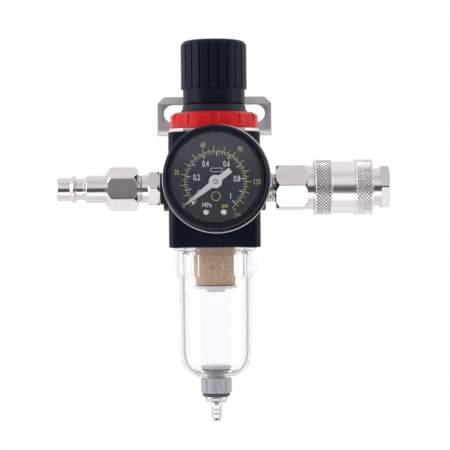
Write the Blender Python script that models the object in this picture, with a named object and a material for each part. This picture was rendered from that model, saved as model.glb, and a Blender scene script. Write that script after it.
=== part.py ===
"""Compact filter-regulator for compressed air.

A die-cast body with a clear filter bowl below, a pull-to-unlock pressure knob
above, a round pressure gauge in front, a quick-connect plug on the inlet, a
quick-connect coupler on the outlet, and an angle bracket behind.

Section dimensions are millimetres about the point where the port axis crosses
the vertical axis: +X towards the outlet, -Y towards the gauge, +Z up.  The
whole assembly hangs from an empty that puts the bracket's rear face, midway
between its two slots, on the scene origin.
"""
import math

import bmesh
import bpy
from mathutils import Matrix, Vector

MM = 0.001

# ---- driving dimensions, millimetres ------------------------------------
BODY_SIDE = 40.0            # square casting, seen from above
BODY_CORNER_R = 3.6
BODY_TOP = 24.2
BODY_BOTTOM = -26.0
BOSS_R = 10.0               # round bosses of the two air ports
BOSS_REACH = 22.6           # boss faces, from the vertical axis
PORT_R = 5.6                # tapped air port
GAUGE_PORT_R = 5.1          # tapped gauge port, front and rear
GAUGE_PORT_X = 1.1           # front port, right of the vertical axis
GAUGE_PORT_Z = 3.4

BRACKET_T = 1.5             # sheet thickness
BRACKET_W = 52.4
BRACKET_BOTTOM = 24.5
BRACKET_TOP = 42.5
BRACKET_BACK = 30.0
SLOT_H = 8.0
SLOT_Z = 34.8
SLOT_IN = 9.0
SLOT_OUT = 23.2

RING_R = 19.45              # red lock ring
RING_Z0, RING_Z1 = 26.3, 33.4
RING_NOTCHES = 12

KNOB_R = 14.6
KNOB_SKIRT_R = 13.7
KNOB_Z0, KNOB_STEP, KNOB_Z1 = 37.3, 43.9, 65.6
KNOB_PADS = 22
KNOB_PULL = 3.5
SCREW_PITCH = 1.5
SEAT_TRAVEL = 7.5

BOWL_R = 15.9
BOWL_IN_R = 13.85
BOWL_LUGS = 8
BOWL_LUG_R = 18.45
BOWL_LUG_TURN = -85.4       # direction of the front lug, degrees from +X
BOWL_BASE = -83.5
DRAIN_TRAVEL = 1.5

GAUGE_R = 22.9              # bright case
BEZEL_R = 22.15
HUB = (-0.5, -1.2)          # pointer axis, from the gauge case's axis
FACE = (-0.35, 0.6)         # centre of bezel, lens and dial, from the same
POINTER_REST = 52.8         # clockwise from straight down, degrees
SECTOR_DROP = 10.8          # sector gear pivot below the pointer axis

PLUG_AF = 17.0
PLUG_TIP = 69.8
COUPLER_AF = 19.0
COUPLER_TIP = 77.2
SLEEVE_TRAVEL = 2.8
BALL_R = 1.3
BALL_STATION = 63.0
BALL_ORBIT = 7.0

MOUNT_Z = 34.5              # height of the bracket's fixing point

# ---- scene start ---------------------------------------------------------
for old in list(bpy.data.objects):
    bpy.data.objects.remove(old, do_unlink=True)


# ---- materials -------------------------------------------------------------
def material(name, rgb, rough, metal=0.0, alpha=1.0, transmission=0.0):
    mat = bpy.data.materials.new(name)
    mat.use_nodes = True
    shader = mat.node_tree.nodes["Principled BSDF"]
    shader.inputs["Base Color"].default_value = (*rgb, 1.0)
    shader.inputs["Roughness"].default_value = rough
    shader.inputs["Metallic"].default_value = metal
    shader.inputs["Alpha"].default_value = alpha
    shader.inputs["Transmission Weight"].default_value = transmission
    mat.diffuse_color = (*rgb, alpha)
    return mat


CAST_BLACK = material("cast_black", (0.016, 0.018, 0.026), 0.45)
KNOB_BLACK = material("knob_black", (0.018, 0.021, 0.032), 0.40)
RED = material("ring_red", (0.66, 0.02, 0.025), 0.38)
ZINC = material("zinc_sheet", (0.55, 0.55, 0.56), 0.42, 1.0)
NICKEL = material("nickel", (0.66, 0.63, 0.58), 0.22, 1.0)
BRASS = material("brass", (0.70, 0.52, 0.26), 0.32, 1.0)
STEEL = material("spring_steel", (0.48, 0.48, 0.50), 0.30, 1.0)
CHROME = material("chrome", (0.82, 0.82, 0.83), 0.08, 1.0)
RUBBER = material("rubber", (0.02, 0.02, 0.02), 0.75)
BEZEL_BLACK = material("bezel_black", (0.016, 0.017, 0.022), 0.30)
DIAL = material("dial_black", (0.010, 0.011, 0.022), 0.55)
WHITE_PAINT = material("pointer_grey", (0.72, 0.72, 0.74), 0.50)
LENS = material("lens_clear", (0.95, 0.96, 0.97), 0.03, 0.0, 0.25, 1.0)
CLEAR = material("bowl_clear", (0.94, 0.96, 0.98), 0.05, 0.0, 0.30, 1.0)
SINTER = material("sintered_bronze", (0.60, 0.42, 0.29), 0.85)
NATURAL = material("natural_plastic", (0.80, 0.80, 0.78), 0.50)
BLACK_PLASTIC = material("black_plastic", (0.03, 0.03, 0.032), 0.50)
GREY_PLASTIC = material("grey_plastic", (0.22, 0.23, 0.25), 0.42)
BRIGHT_BARB = material("barb_metal", (0.50, 0.50, 0.52), 0.28, 1.0)


# ---- frames ------------------------------------------------------------------
def frame(name, parent=None, at=(0, 0, 0), turn=(0, 0, 0)):
    empty = bpy.data.objects.new(name, None)
    empty.empty_display_size = 0.01
    bpy.context.collection.objects.link(empty)
    empty.parent = parent
    empty.location = [v * MM for v in at]
    empty.rotation_euler = [math.radians(v) for v in turn]
    return empty


ASSEMBLY = frame("assembly", None, (0, -BRACKET_BACK, -MOUNT_Z))
GAUGE = frame("gauge_frame", ASSEMBLY, (GAUGE_PORT_X, 0, GAUGE_PORT_Z), (90, 0, 0))
POINTER_AXIS = frame("pointer_axis", GAUGE, (HUB[0], HUB[1], 0))
SECTOR_AXIS = frame("sector_axis", GAUGE, (HUB[0], HUB[1] - SECTOR_DROP, 0))
REAR = frame("rear_port_frame", ASSEMBLY, (0, 0, GAUGE_PORT_Z), (-90, 0, 0))
INLET = frame("inlet_frame", ASSEMBLY, (0, 0, 0), (0, -90, 0))
OUTLET = frame("outlet_frame", ASSEMBLY, (0, 0, 0), (0, 90, 0))


# ---- shape functions ------------------------------------------------------------
def turned(profile, n=32, ring=True, angles=None):
    """Turn a section of (radius, height) points about Z.

    A radius may be a function of the angle.  ring=True closes the section on
    itself, for a piece with a hole; ring=False runs from axis to axis.
    """
    if angles is None:
        angles = [2 * math.pi * i / n for i in range(n)]
    n = len(angles)
    bm = bmesh.new()
    rows = []
    for radius, z in profile:
        if not callable(radius) and radius == 0:
            rows.append([bm.verts.new((0, 0, z * MM))])
            continue
        row = []
        for a in angles:
            r = radius(a) if callable(radius) else radius
            row.append(bm.verts.new((r * math.cos(a) * MM,
                                     r * math.sin(a) * MM, z * MM)))
        rows.append(row)
    last = len(rows) if ring else len(rows) - 1
    for k in range(last):
        low, high = rows[k], rows[(k + 1) % len(rows)]
        if len(low) == 1 and len(high) == 1:
            continue
        for i in range(n):
            j = (i + 1) % n
            if len(low) == 1:
                bm.faces.new((low[0], high[i], high[j]))
            elif len(high) == 1:
                bm.faces.new((low[i], low[j], high[0]))
            else:
                bm.faces.new((low[i], low[j], high[j], high[i]))
    bmesh.ops.recalc_face_normals(bm, faces=bm.faces)
    return bm


def plate(outline, z0, z1):
    """Extrude a flat outline between two heights."""
    bm = bmesh.new()
    low = [bm.verts.new((x * MM, y * MM, z0 * MM)) for x, y in outline]
    high = [bm.verts.new((x * MM, y * MM, z1 * MM)) for x, y in outline]
    bm.faces.new(list(reversed(low)))
    bm.faces.new(high)
    for i in range(len(outline)):
        j = (i + 1) % len(outline)
        bm.faces.new((low[i], low[j], high[j], high[i]))
    bmesh.ops.recalc_face_normals(bm, faces=bm.faces)
    return bm


def box(x0, x1, y0, y1, z0, z1):
    return plate([(x0, y0), (x1, y0), (x1, y1), (x0, y1)], z0, z1)


def round_outline(width, height, r, steps=5):
    points = []
    for cx, cy, start in ((1, 1, 0), (-1, 1, 90), (-1, -1, 180), (1, -1, 270)):
        for k in range(steps + 1):
            a = math.radians(start + 90 * k / steps)
            points.append((cx * (width / 2 - r) + r * math.cos(a),
                           cy * (height / 2 - r) + r * math.sin(a)))
    return points


def swept(path, section):
    """Carry a closed section along a path of points.

    section(i) gives the section's points, as offsets in space, at step i.
    """
    bm = bmesh.new()
    rows = []
    for i, centre in enumerate(path):
        rows.append([bm.verts.new((Vector(centre) + Vector(off)) * MM)
                     for off in section(i)])
    n = len(rows[0])
    for low, high in zip(rows, rows[1:]):
        for i in range(n):
            j = (i + 1) % n
            bm.faces.new((low[i], low[j], high[j], high[i]))
    bm.faces.new(list(reversed(rows[0])))
    bm.faces.new(rows[-1])
    bmesh.ops.recalc_face_normals(bm, faces=bm.faces)
    return bm


def coil(radius, wire, z0, z1, turns, per_turn=14, sides=5):
    """Helical compression spring whose outside reaches from z0 to z1."""
    steps = int(turns * per_turn)
    path, turn = [], []
    for i in range(steps + 1):
        f = i / steps
        a = 2 * math.pi * turns * f
        path.append((radius * math.cos(a), radius * math.sin(a),
                     z0 + wire + (z1 - z0 - 2 * wire) * f))
        turn.append(a)
    rise = (z1 - z0 - 2 * wire) / (2 * math.pi * turns * radius)

    def section(i):
        out = Vector((math.cos(turn[i]), math.sin(turn[i]), 0))
        along = Vector((-math.sin(turn[i]), math.cos(turn[i]), rise)).normalized()
        up = along.cross(out)
        return [out * (wire * math.cos(2 * math.pi * k / sides))
                + up * (wire * math.sin(2 * math.pi * k / sides))
                for k in range(sides)]
    return swept(path, section)


def hexagon(across_flats, turn=0.0, limit=None):
    """Radius of a hexagon, or of a hexagon cut back by a turned chamfer."""
    def radius(a):
        b = (a - math.radians(turn)) % (math.pi / 3) - math.pi / 6
        r = across_flats / 2 / math.cos(b)
        return min(r, limit) if limit else r
    return radius


def flatted(r, half_flats):
    """Radius of a round with two flats facing +X and -X."""
    def radius(a):
        c = abs(math.cos(a))
        return min(r, half_flats / c) if c > 1e-6 else r
    return radius


# ---- placing pieces -----------------------------------------------------------------
def piece(name, bm, mat, parent=ASSEMBLY, at=(0, 0, 0), turn=(0, 0, 0), smooth=35):
    mesh = bpy.data.meshes.new(name)
    bm.to_mesh(mesh)
    bm.free()
    mesh.materials.append(mat)
    mesh.shade_smooth()
    mesh.set_sharp_from_angle(angle=math.radians(smooth))
    obj = bpy.data.objects.new(name, mesh)
    bpy.context.collection.objects.link(obj)
    obj.parent = parent
    obj.location = [v * MM for v in at]
    obj.rotation_euler = [math.radians(v) for v in turn]
    return obj


def tool(target, bm, operation="DIFFERENCE", parent=ASSEMBLY, at=(0, 0, 0), turn=(0, 0, 0)):
    """Cut target with a shape, or join the shape to it."""
    number = len(target.modifiers) + 1
    obj = piece("tool_%s_%d" % (target.name, number), bm, CAST_BLACK, parent, at, turn)
    obj.hide_render = True
    obj.display_type = "WIRE"
    step = target.modifiers.new("step_%d" % number, "BOOLEAN")
    step.operation = operation
    step.solver = "EXACT"
    step.object = obj
    return obj


def rod(r, z0, z1, n=24):
    return turned([(0, z0), (r, z0), (r, z1), (0, z1)], n, ring=False)


# =============================================================================
# Body casting
# =============================================================================
body = piece("regulator_body",
             plate(round_outline(BODY_SIDE, BODY_SIDE, BODY_CORNER_R, 3), BODY_BOTTOM, BODY_TOP),
             CAST_BLACK)
tool(body, rod(BOSS_R, -BOSS_REACH, BOSS_REACH, 28), "UNION", turn=(0, 90, 0))
tool(body, rod(9.0, -22.0, -15.0, 20), "UNION", at=(GAUGE_PORT_X, 0, GAUGE_PORT_Z), turn=(-90, 0, 0))
tool(body, rod(9.0, 15.0, 21.6, 20), "UNION", at=(0, 0, GAUGE_PORT_Z), turn=(-90, 0, 0))
# One turned cut holds the diaphragm recess, the outlet chamber, the valve seat,
# the bore of the valve guide and the socket of the bowl round its centre boss.
tool(body, turned([(0, 26.0), (16.6, 26.0), (16.6, 14.7), (12.5, 14.7), (12.5, 11.0),
                   (9.5, 11.0), (9.5, -1.0), (3.6, -1.0), (3.6, -4.5), (7.5, -4.5),
                   (7.5, -20.0), (10.5, -20.0), (10.5, -15.5), (15.8, -15.5),
                   (15.8, -28.0), (0, -28.0)], 26, ring=False))
tool(body, rod(PORT_R, 12.7, 24.0, 18), parent=INLET)
tool(body, rod(PORT_R, 10.4, 24.0, 18), parent=OUTLET)
tool(body, rod(3.4, 7.0, 11.4, 12), parent=OUTLET, at=(-3.2, 0, 0))
tool(body, rod(2.4, -16.6, -3.5, 10), at=(-14.4, 0, 0))
tool(body, rod(GAUGE_PORT_R, -23.0, -8.6, 16), at=(GAUGE_PORT_X, 0, GAUGE_PORT_Z), turn=(-90, 0, 0))
tool(body, rod(GAUGE_PORT_R, 8.6, 23.0, 16), at=(0, 0, GAUGE_PORT_Z), turn=(-90, 0, 0))

# =============================================================================
# Angle bracket: one sheet, bent up behind, clamped under the lock ring
# =============================================================================
t = BRACKET_T
bend = 3.0
side = [(-19.6, BRACKET_BOTTOM), (BRACKET_BACK - bend, BRACKET_BOTTOM)]
for k in range(1, 4):
    a = math.radians(-90 + 90 * k / 3)
    side.append((BRACKET_BACK - bend + bend * math.cos(a), BRACKET_BOTTOM + bend + bend * math.sin(a)))
side += [(BRACKET_BACK, BRACKET_TOP), (BRACKET_BACK - t, BRACKET_TOP)]
for k in range(3, -1, -1):
    a = math.radians(-90 + 90 * k / 3)
    side.append((BRACKET_BACK - bend + (bend - t) * math.cos(a),
                 BRACKET_BOTTOM + bend + (bend - t) * math.sin(a)))
side.append((-19.6, BRACKET_BOTTOM + t))
# The section lies in the Y-Z plane and is extruded across the width.
bracket = piece("mounting_bracket", plate(side, -BRACKET_W / 2, BRACKET_W / 2), ZINC,
                turn=(90, 0, 90))
tool(bracket, rod(15.15, 20, 30, 28))
for sign in (-1, 1):
    # tapered shoulder and clipped front corner of the flat leg
    trim = [(sign * x, y) for x, y in ((13.5, -22), (13.5, -19.6), (19.6, -13.0), (19.6, 12.0),
                                       (26.4, 19.5), (30.0, 19.5), (30.0, -22))]
    tool(bracket, plate(trim if sign > 0 else trim[::-1], 20, 30))
    # clipped top corner of the upright leg
    corner = [(sign * x, z) for x, z in ((23.1, 43.5), (23.1, 42.5), (26.2, 39.5), (28, 39.5), (28, 43.5))]
    tool(bracket, plate(corner if sign > 0 else corner[::-1], -40, -20), turn=(90, 0, 0))
    # fixing slot with round ends
    mid = sign * (SLOT_IN + SLOT_OUT) / 2
    slot = [(mid + x, SLOT_Z + z) for x, z in round_outline(SLOT_OUT - SLOT_IN, SLOT_H, SLOT_H / 2 - 0.01, 4)]
    tool(bracket, plate(slot, -40, -20), turn=(90, 0, 0))

# =============================================================================
# Lock ring, bonnet, knob and the adjusting gear inside
# =============================================================================
notch = math.radians(6.2)
angles = []
for k in range(RING_NOTCHES):
    centre = 2 * math.pi * k / RING_NOTCHES - math.pi / 2
    for d in (-15, -6.4, -6.0, 6.0, 6.4):
        angles.append(centre + math.radians(d))


def notched(full, cut):
    def radius(a):
        step = 2 * math.pi / RING_NOTCHES
        d = abs((a + math.pi / 2 + step / 2) % step - step / 2)
        return cut if d < notch else full
    return radius


piece("lock_ring", turned([(15.1, RING_Z0), (RING_R, RING_Z0), (RING_R, 29.9),
                           (notched(RING_R, RING_R - 0.6), 30.1),
                           (notched(RING_R, RING_R - 0.6), 32.0),
                           (notched(17.5, 17.4), RING_Z1), (15.1, RING_Z1)],
                          angles=angles), RED)

bore = flatted(10.2, 9.2)
piece("bonnet", turned([(16.2, 16.9), (16.2, 24.0), (14.8, 24.0), (14.8, 33.9), (14.1, 34.9),
                        (13.8, 36.9), (11.6, 36.9), (11.6, 50.0), (3.4, 50.0), (3.4, 47.0),
                        (bore, 47.0), (bore, 33.0), (12.4, 31.0), (12.4, 16.9)], 26), BLACK_PLASTIC)

pads = []
for k in range(KNOB_PADS):
    centre = 2 * math.pi * k / KNOB_PADS - math.pi / 2
    pads += [centre - math.pi / KNOB_PADS, centre - math.radians(6.9), centre + math.radians(6.9)]


def ribbed(full, depth):
    def radius(a):
        step = 2 * math.pi / KNOB_PADS
        d = abs((a + math.pi / 2 + step / 2) % step - step / 2)
        return full - depth if d > math.radians(7.5) else full
    return radius


knob_hex = hexagon(9.6)
piece("adjusting_knob", turned([
    (0, KNOB_Z1), (12.0, KNOB_Z1 - 0.4), (ribbed(KNOB_R, 0.55), KNOB_Z1 - 3.0),
    (ribbed(KNOB_R, 0.55), KNOB_STEP), (KNOB_SKIRT_R, KNOB_STEP - 0.1),
    (KNOB_SKIRT_R, KNOB_Z0), (12.0, KNOB_Z0), (12.0, 62.8), (7.4, 62.8), (7.4, 50.9),
    (knob_hex, 50.9), (knob_hex, 62.8), (0, 62.8)], ring=False, angles=pads), KNOB_BLACK)

hex9 = hexagon(9.0)
piece("adjusting_screw", turned([(0, 27.0), (3.0, 27.0), (3.6, 27.6), (3.6, 45.0), (6.2, 45.0),
                                 (6.2, 46.7), (3.0, 46.7), (3.0, 50.3), (hex9, 50.3),
                                 (hex9, 58.3), (0, 58.3)], 12, ring=False), STEEL)
seat = flatted(9.9, 8.9)
piece("adjusting_nut", turned([(3.9, 38.4), (6.6, 38.4), (6.6, 41.7), (seat, 41.7), (seat, 44.6),
                               (3.9, 44.6)], 20), BRASS)
piece("regulating_spring", coil(7.9, 1.0, 19.2, 41.4, 6, 10, 4), STEEL)

# =============================================================================
# Diaphragm and valve
# =============================================================================
piece("diaphragm", turned([(3.2, 16.4), (10.2, 16.4), (10.8, 15.1), (11.7, 15.1), (12.3, 16.5),
                           (16.2, 16.5), (16.2, 15.0), (12.1, 15.0), (11.9, 13.7), (10.7, 13.7),
                           (10.1, 15.0), (3.2, 15.0)], 20), RUBBER)
piece("diaphragm_plate", turned([(1.5, 16.8), (9.9, 16.8), (9.9, 18.9), (6.4, 18.9), (6.4, 20.6),
                                 (1.5, 20.6)], 18), BRASS)
piece("relief_seat", turned([(1.0, 12.9), (5.5, 12.9), (5.5, 14.7), (2.9, 14.7), (2.9, 16.4),
                             (1.0, 16.4)], 12), BRASS)
piece("valve_stem", turned([(0, -19.0), (1.2, -19.0), (1.2, -9.5), (1.5, -9.0), (1.5, 11.6),
                            (0.6, 12.6), (0, 12.6)], 8, ring=False), BRASS)
piece("valve_poppet", turned([(1.8, -8.2), (4.0, -8.2), (5.0, -7.4), (5.0, -4.8), (1.8, -4.8)], 14),
      RUBBER)
piece("valve_return_spring", coil(3.4, 0.3, -17.1, -8.5, 5, 9, 3), STEEL)
guide = piece("valve_guide", turned([(0, -21.6), (2.1, -21.6), (2.1, -24.2), (3.2, -24.2), (3.2, -19.0),
                                     (7.2, -19.0), (7.2, -5.0), (5.7, -5.0), (5.7, -17.4),
                                     (1.5, -17.4), (1.5, -20.6), (0, -20.6)], 16, ring=False),
              NATURAL)
for k in range(4):
    a = math.pi / 4 + math.pi / 2 * k
    tool(guide, rod(0.9, -20.0, -16.5, 6), at=(4.45 * math.cos(a), 4.45 * math.sin(a), 0))

# =============================================================================
# Filter, bowl and drain
# =============================================================================
vane_step = 2 * math.pi / 12


def vaned(a):
    return 12.5 - 0.8 * ((a % vane_step) / vane_step)


vane_angles = []
for k in range(12):
    vane_angles += [k * vane_step + 0.002, (k + 0.5) * vane_step, (k + 1) * vane_step - 0.03]
piece("swirl_deflector", turned([(11.0, -25.4), (vaned, -25.4), (vaned, -16.0), (11.0, -16.0)],
                                angles=vane_angles), NATURAL)
piece("filter_element", turned([(5.5, -42.8), (8.95, -42.8), (8.95, -20.3), (5.5, -20.3)], 28), SINTER)
piece("baffle", turned([(0, -46.0), (4.4, -46.0), (4.5, -44.4), (10.0, -44.4), (10.0, -43.1),
                        (1.8, -43.1), (1.8, -22.0), (0, -22.0)], 22, ring=False), NATURAL)

o_ring = [(14.75 + 0.75 * math.cos(2 * math.pi * k / 6), -18.4 + 0.75 * math.sin(2 * math.pi * k / 6))
          for k in range(6)]
piece("bowl_o_ring", turned(o_ring, 20), RUBBER)

outside = [(15.3, -16.2), (15.3, -17.2), (13.8, -17.2), (13.8, -19.6), (15.3, -19.6), (15.3, -26.3),
           (18.5, -26.3), (18.5, -27.4), (16.75, -27.7), (16.75, -39.3), (BOWL_R, -40.0),
           (15.7, -74.0), (14.6, -79.0), (12.0, -81.7), (8.8, -83.1),
           (8.8, BOWL_BASE), (4.0, BOWL_BASE)]
inside = [(4.0, -81.6), (7.8, -81.6), (11.2, -79.9), (13.1, -77.0),
          (13.7, -73.0), (BOWL_IN_R, -29.0), (12.9, -27.5), (12.9, -16.2)]
bowl = piece("bowl", turned(outside + inside, 30), CLEAR)
lugs = bmesh.new()
for k in range(BOWL_LUGS):
    lug = box(16.0, BOWL_LUG_R, -1.85, 1.85, -38.8, -29.2)
    lug.transform(Matrix.Rotation(math.radians(BOWL_LUG_TURN + 360 * k / BOWL_LUGS), 4, "Z"))
    part = bpy.data.meshes.new("lug")
    lug.to_mesh(part)
    lug.free()
    lugs.from_mesh(part)
    bpy.data.meshes.remove(part)
tool(bowl, lugs, "UNION")

piece("drain_seal", turned([(4.0, -81.3), (6.3, -81.3), (6.3, -80.4), (4.0, -80.4)], 16), RUBBER)
piece("drain_valve_body", turned([(1.2, -78.8), (1.2, -82.0), (2.6, -82.0), (2.6, -90.0), (3.7, -90.0),
                                  (3.7, -80.1), (6.7, -80.1), (6.7, -78.8)], 16), GREY_PLASTIC)
FLUTES = 10


def fluted(full, depth):
    def radius(a):
        return full - depth * (0.5 - 0.5 * math.cos(FLUTES * a)) ** 1.5
    return radius


piece("drain_knob", turned([(4.0, -84.1), (fluted(6.4, 0.2), -84.1), (fluted(6.85, 0.8), -84.7),
                            (fluted(6.85, 0.8), -90.3), (fluted(6.4, 0.3), -90.8), (2.6, -90.8),
                            (2.6, -90.3), (4.0, -90.3)], 40), GREY_PLASTIC)
piece("drain_ring", turned([(2.6, -92.2), (6.1, -92.2), (6.1, -91.1), (2.6, -91.1)], 24), RUBBER)
barb = [(0, -82.4), (2.2, -82.4), (2.2, -92.5), (5.1, -92.5), (5.15, -93.1), (4.5, -94.1),
        (4.45, -95.0), (2.0, -95.0)]
for k in range(3):
    top = -96.4 - 2.0 * k
    barb += [(2.45, top), (2.0, top - 1.5)]
barb += [(1.9, -103.0), (1.7, -103.4), (1.2, -103.4), (1.2, -83.8), (0, -83.8)]
tail = piece("drain_barb", turned(barb, 16, ring=False), BRIGHT_BARB)
tool(tail, rod(0.7, -4, 4, 6), at=(0, 0, -85.2), turn=(90, 0, 0))

# =============================================================================
# Pressure gauge.  Heights run forward from the vertical axis, towards the viewer.
# =============================================================================
hex14 = hexagon(14.0, 30)
piece("gauge_socket", turned([(0, 31.0), (1.2, 31.0), (1.2, 12.0), (4.5, 12.0), (4.8, 12.6), (4.8, 22.3),
                              (hex14, 22.3), (hex14, 26.6), (4.3, 26.6), (4.3, 28.0), (5.6, 28.0),
                              (5.6, 33.2), (0, 33.2)], 12, ring=False), BRASS, GAUGE)
piece("gauge_case", turned([(4.7, 26.9), (21.4, 26.9), (GAUGE_R, 28.4), (GAUGE_R, 45.4),
                            (22.2, 45.4), (22.2, 28.8), (21.2, 27.7), (4.7, 27.7)], 36),
      CHROME, GAUGE)
piece("gauge_bezel", turned([(20.9, 40.0), (21.4, 40.0), (21.4, 45.7), (BEZEL_R, 45.8), (BEZEL_R, 48.4),
                             (20.9, 49.6), (20.1, 49.5), (19.1, 48.4), (19.1, 47.6), (20.9, 47.6)], 36),
      BEZEL_BLACK, GAUGE, (FACE[0], FACE[1], 0))
piece("gauge_lens", rod(20.4, 45.9, 47.3, 36), LENS, GAUGE, (FACE[0], FACE[1], 0))
dial = piece("gauge_dial", rod(20.4, 42.6, 43.4, 36), DIAL, GAUGE, (FACE[0], FACE[1], 0))


def hand(theta, r):
    """Point at radius r from the hub, theta degrees clockwise from straight down."""
    a = math.radians(theta)
    return (-r * math.sin(a), -r * math.cos(a))


screws = ((-4.1, -13.05), (3.5, -13.05))
tool(dial, rod(1.4, 42, 44, 10), parent=GAUGE, at=(HUB[0], HUB[1], 0))
for x, y in screws:
    tool(dial, rod(1.1, 42, 44, 8), parent=GAUGE, at=(HUB[0] + x, HUB[1] + y, 0))
pin = hand(46.5, 12.9)
tool(dial, rod(1.0, 42, 44, 8), parent=GAUGE, at=(HUB[0] + pin[0], HUB[1] + pin[1], 0))
piece("stop_pin", rod(0.7, 42.2, 44.9, 8), BRASS, GAUGE, (HUB[0] + pin[0], HUB[1] + pin[1], 0))
for label, (x, y) in zip(("left", "right"), screws):
    screw = piece("dial_screw_" + label,
                  turned([(0, 39.2), (0.8, 39.2), (0.8, 43.7), (1.5, 43.7), (1.2, 44.5), (0, 44.5)],
                         12, ring=False), CHROME, GAUGE, (HUB[0] + x, HUB[1] + y, 0))
    cross = [(0.9, 0.16), (0.16, 0.16), (0.16, 0.9), (-0.16, 0.9), (-0.16, 0.16), (-0.9, 0.16),
             (-0.9, -0.16), (-0.16, -0.16), (-0.16, -0.9), (0.16, -0.9), (0.16, -0.16), (0.9, -0.16)]
    tool(screw, plate(cross[::-1], 44.0, 45.0), parent=GAUGE, at=(HUB[0] + x, HUB[1] + y, 0))

# Pointer: tapered needle, round hub and broad tail, turning on its own axis.
outline = [(-0.18, -16.0), (0.18, -16.0), (0.55, -13.0), (0.95, -8.5), (1.2, -2.9)]
for k in range(1, 7):
    a = math.radians(-66 + k * 131 / 7)
    outline.append((2.8 * math.cos(a), 2.8 * math.sin(a)))
outline += [(1.2, 2.6), (1.2, 8.0), (-1.2, 8.0), (-1.2, 2.6)]
for k in range(1, 7):
    a = math.radians(115 + k * 131 / 7)
    outline.append((2.8 * math.cos(a), 2.8 * math.sin(a)))
outline += [(-1.2, -2.9), (-0.95, -8.5), (-0.55, -13.0)]
pointer = piece("gauge_pointer", plate(outline, 44.0, 44.6), WHITE_PAINT, POINTER_AXIS,
                turn=(0, 0, -POINTER_REST))
tool(pointer, rod(1.0, 43, 46, 10), parent=POINTER_AXIS)


def toothed(tip, root, teeth):
    def radius(a):
        return tip if math.cos(teeth * a) > 0 else root
    return radius


pinion = toothed(1.7, 1.2, 8)
piece("pinion_arbor", turned([(0, 33.7), (0.7, 33.7), (0.7, 36.0), (pinion, 36.0), (pinion, 38.4),
                              (0.7, 38.4), (0.7, 45.0), (0, 45.0)], 16, ring=False), BRASS, POINTER_AXIS)
# Sector gear: its teeth reach to the pinion, straight above the pivot.
sector = [(2.0 * math.cos(math.radians(a)), 2.0 * math.sin(math.radians(a))) for a in (130, 170, 210, 250)]
sector += [(2.0 * math.cos(math.radians(-62)), 2.0 * math.sin(math.radians(-62))),
           (4.9, -2.6), (5.3, -0.9), (1.9, 0.5)]
for k in range(15):
    a = math.radians(31 + 66 * k / 14)
    r = 8.9 if k % 2 else 8.3
    sector.append((r * math.cos(a), r * math.sin(a)))
gear = piece("sector_gear", plate(sector, 36.2, 37.2), BRASS, SECTOR_AXIS)
tool(gear, rod(0.8, 33.7, 40.7, 8), "UNION", parent=SECTOR_AXIS)
tail_x, tail_y = 3.76, -1.37
link_end = (13.2, 5.7)
dx, dy = link_end[0] - tail_x, link_end[1] - tail_y
length = math.hypot(dx, dy)
bar = [(x + length / 2, y) for x, y in round_outline(length + 2.0, 2.0, 0.99, 4)]
piece("gauge_link", plate(bar, 37.6, 38.2), BRASS, SECTOR_AXIS, (tail_x, tail_y, 0),
      (0, 0, math.degrees(math.atan2(dy, dx))))

back = [(x - 0.2, y - 5.5) for x, y in round_outline(16.0, 21.0, 2.0, 3)]
rear_plate = piece("movement_rear_plate", plate(back, 34.0, 34.8), BRASS, GAUGE)
for x in (6.3, -6.7):
    tool(rear_plate, rod(1.1, 34.2, 39.3, 8), "UNION", parent=GAUGE, at=(x, 2.8, 0))
front_plate = piece("movement_front_plate", plate(back, 39.6, 40.4), BRASS, GAUGE)
for target in (rear_plate, front_plate):
    tool(target, rod(1.1, 33, 42, 8), parent=GAUGE, at=(HUB[0], HUB[1], 0))
    tool(target, rod(1.1, 33, 42, 8), parent=GAUGE, at=(HUB[0], HUB[1] - SECTOR_DROP, 0))
for x, y in screws:
    tool(front_plate, rod(1.1, 38, 42, 8), parent=GAUGE, at=(HUB[0] + x, HUB[1] + y, 0))

arc = [math.radians(232 - 250 * k / 22) for k in range(23)]
tube_path = [(15.5 * math.cos(a), 15.5 * math.sin(a), 30.7) for a in arc]


def tube_section(i):
    out = Vector((math.cos(arc[i]), math.sin(arc[i]), 0))
    return [out * (0.8 * math.cos(2 * math.pi * k / 6)) + Vector((0, 0, 2.2 * math.sin(2 * math.pi * k / 6)))
            for k in range(6)]


piece("bourdon_tube", swept(tube_path, tube_section), BRASS, GAUGE)

# =============================================================================
# Rear port plug
# =============================================================================
hex5 = hexagon(5.0)
piece("rear_port_plug", turned([(0, 12.6), (4.4, 12.6), (4.8, 13.2), (4.8, 21.4), (4.5, 21.8),
                                (hex5, 21.8), (hex5, 17.0), (0, 17.0)], 12, ring=False), NICKEL, REAR)

# =============================================================================
# Inlet: sealing ring, adapter and quick-connect plug.  Heights run outward.
# =============================================================================
piece("inlet_seal", turned([(6.0, 22.9), (7.1, 22.9), (7.1, 24.1), (6.0, 24.1)], 24), RUBBER, INLET)


def ridges(r_root, r_tip, z0, z1, count):
    points, step = [], (z1 - z0) / count
    for k in range(count):
        points += [(r_root, z0 + step * k), (r_tip, z0 + step * (k + 0.5))]
    return points


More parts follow.
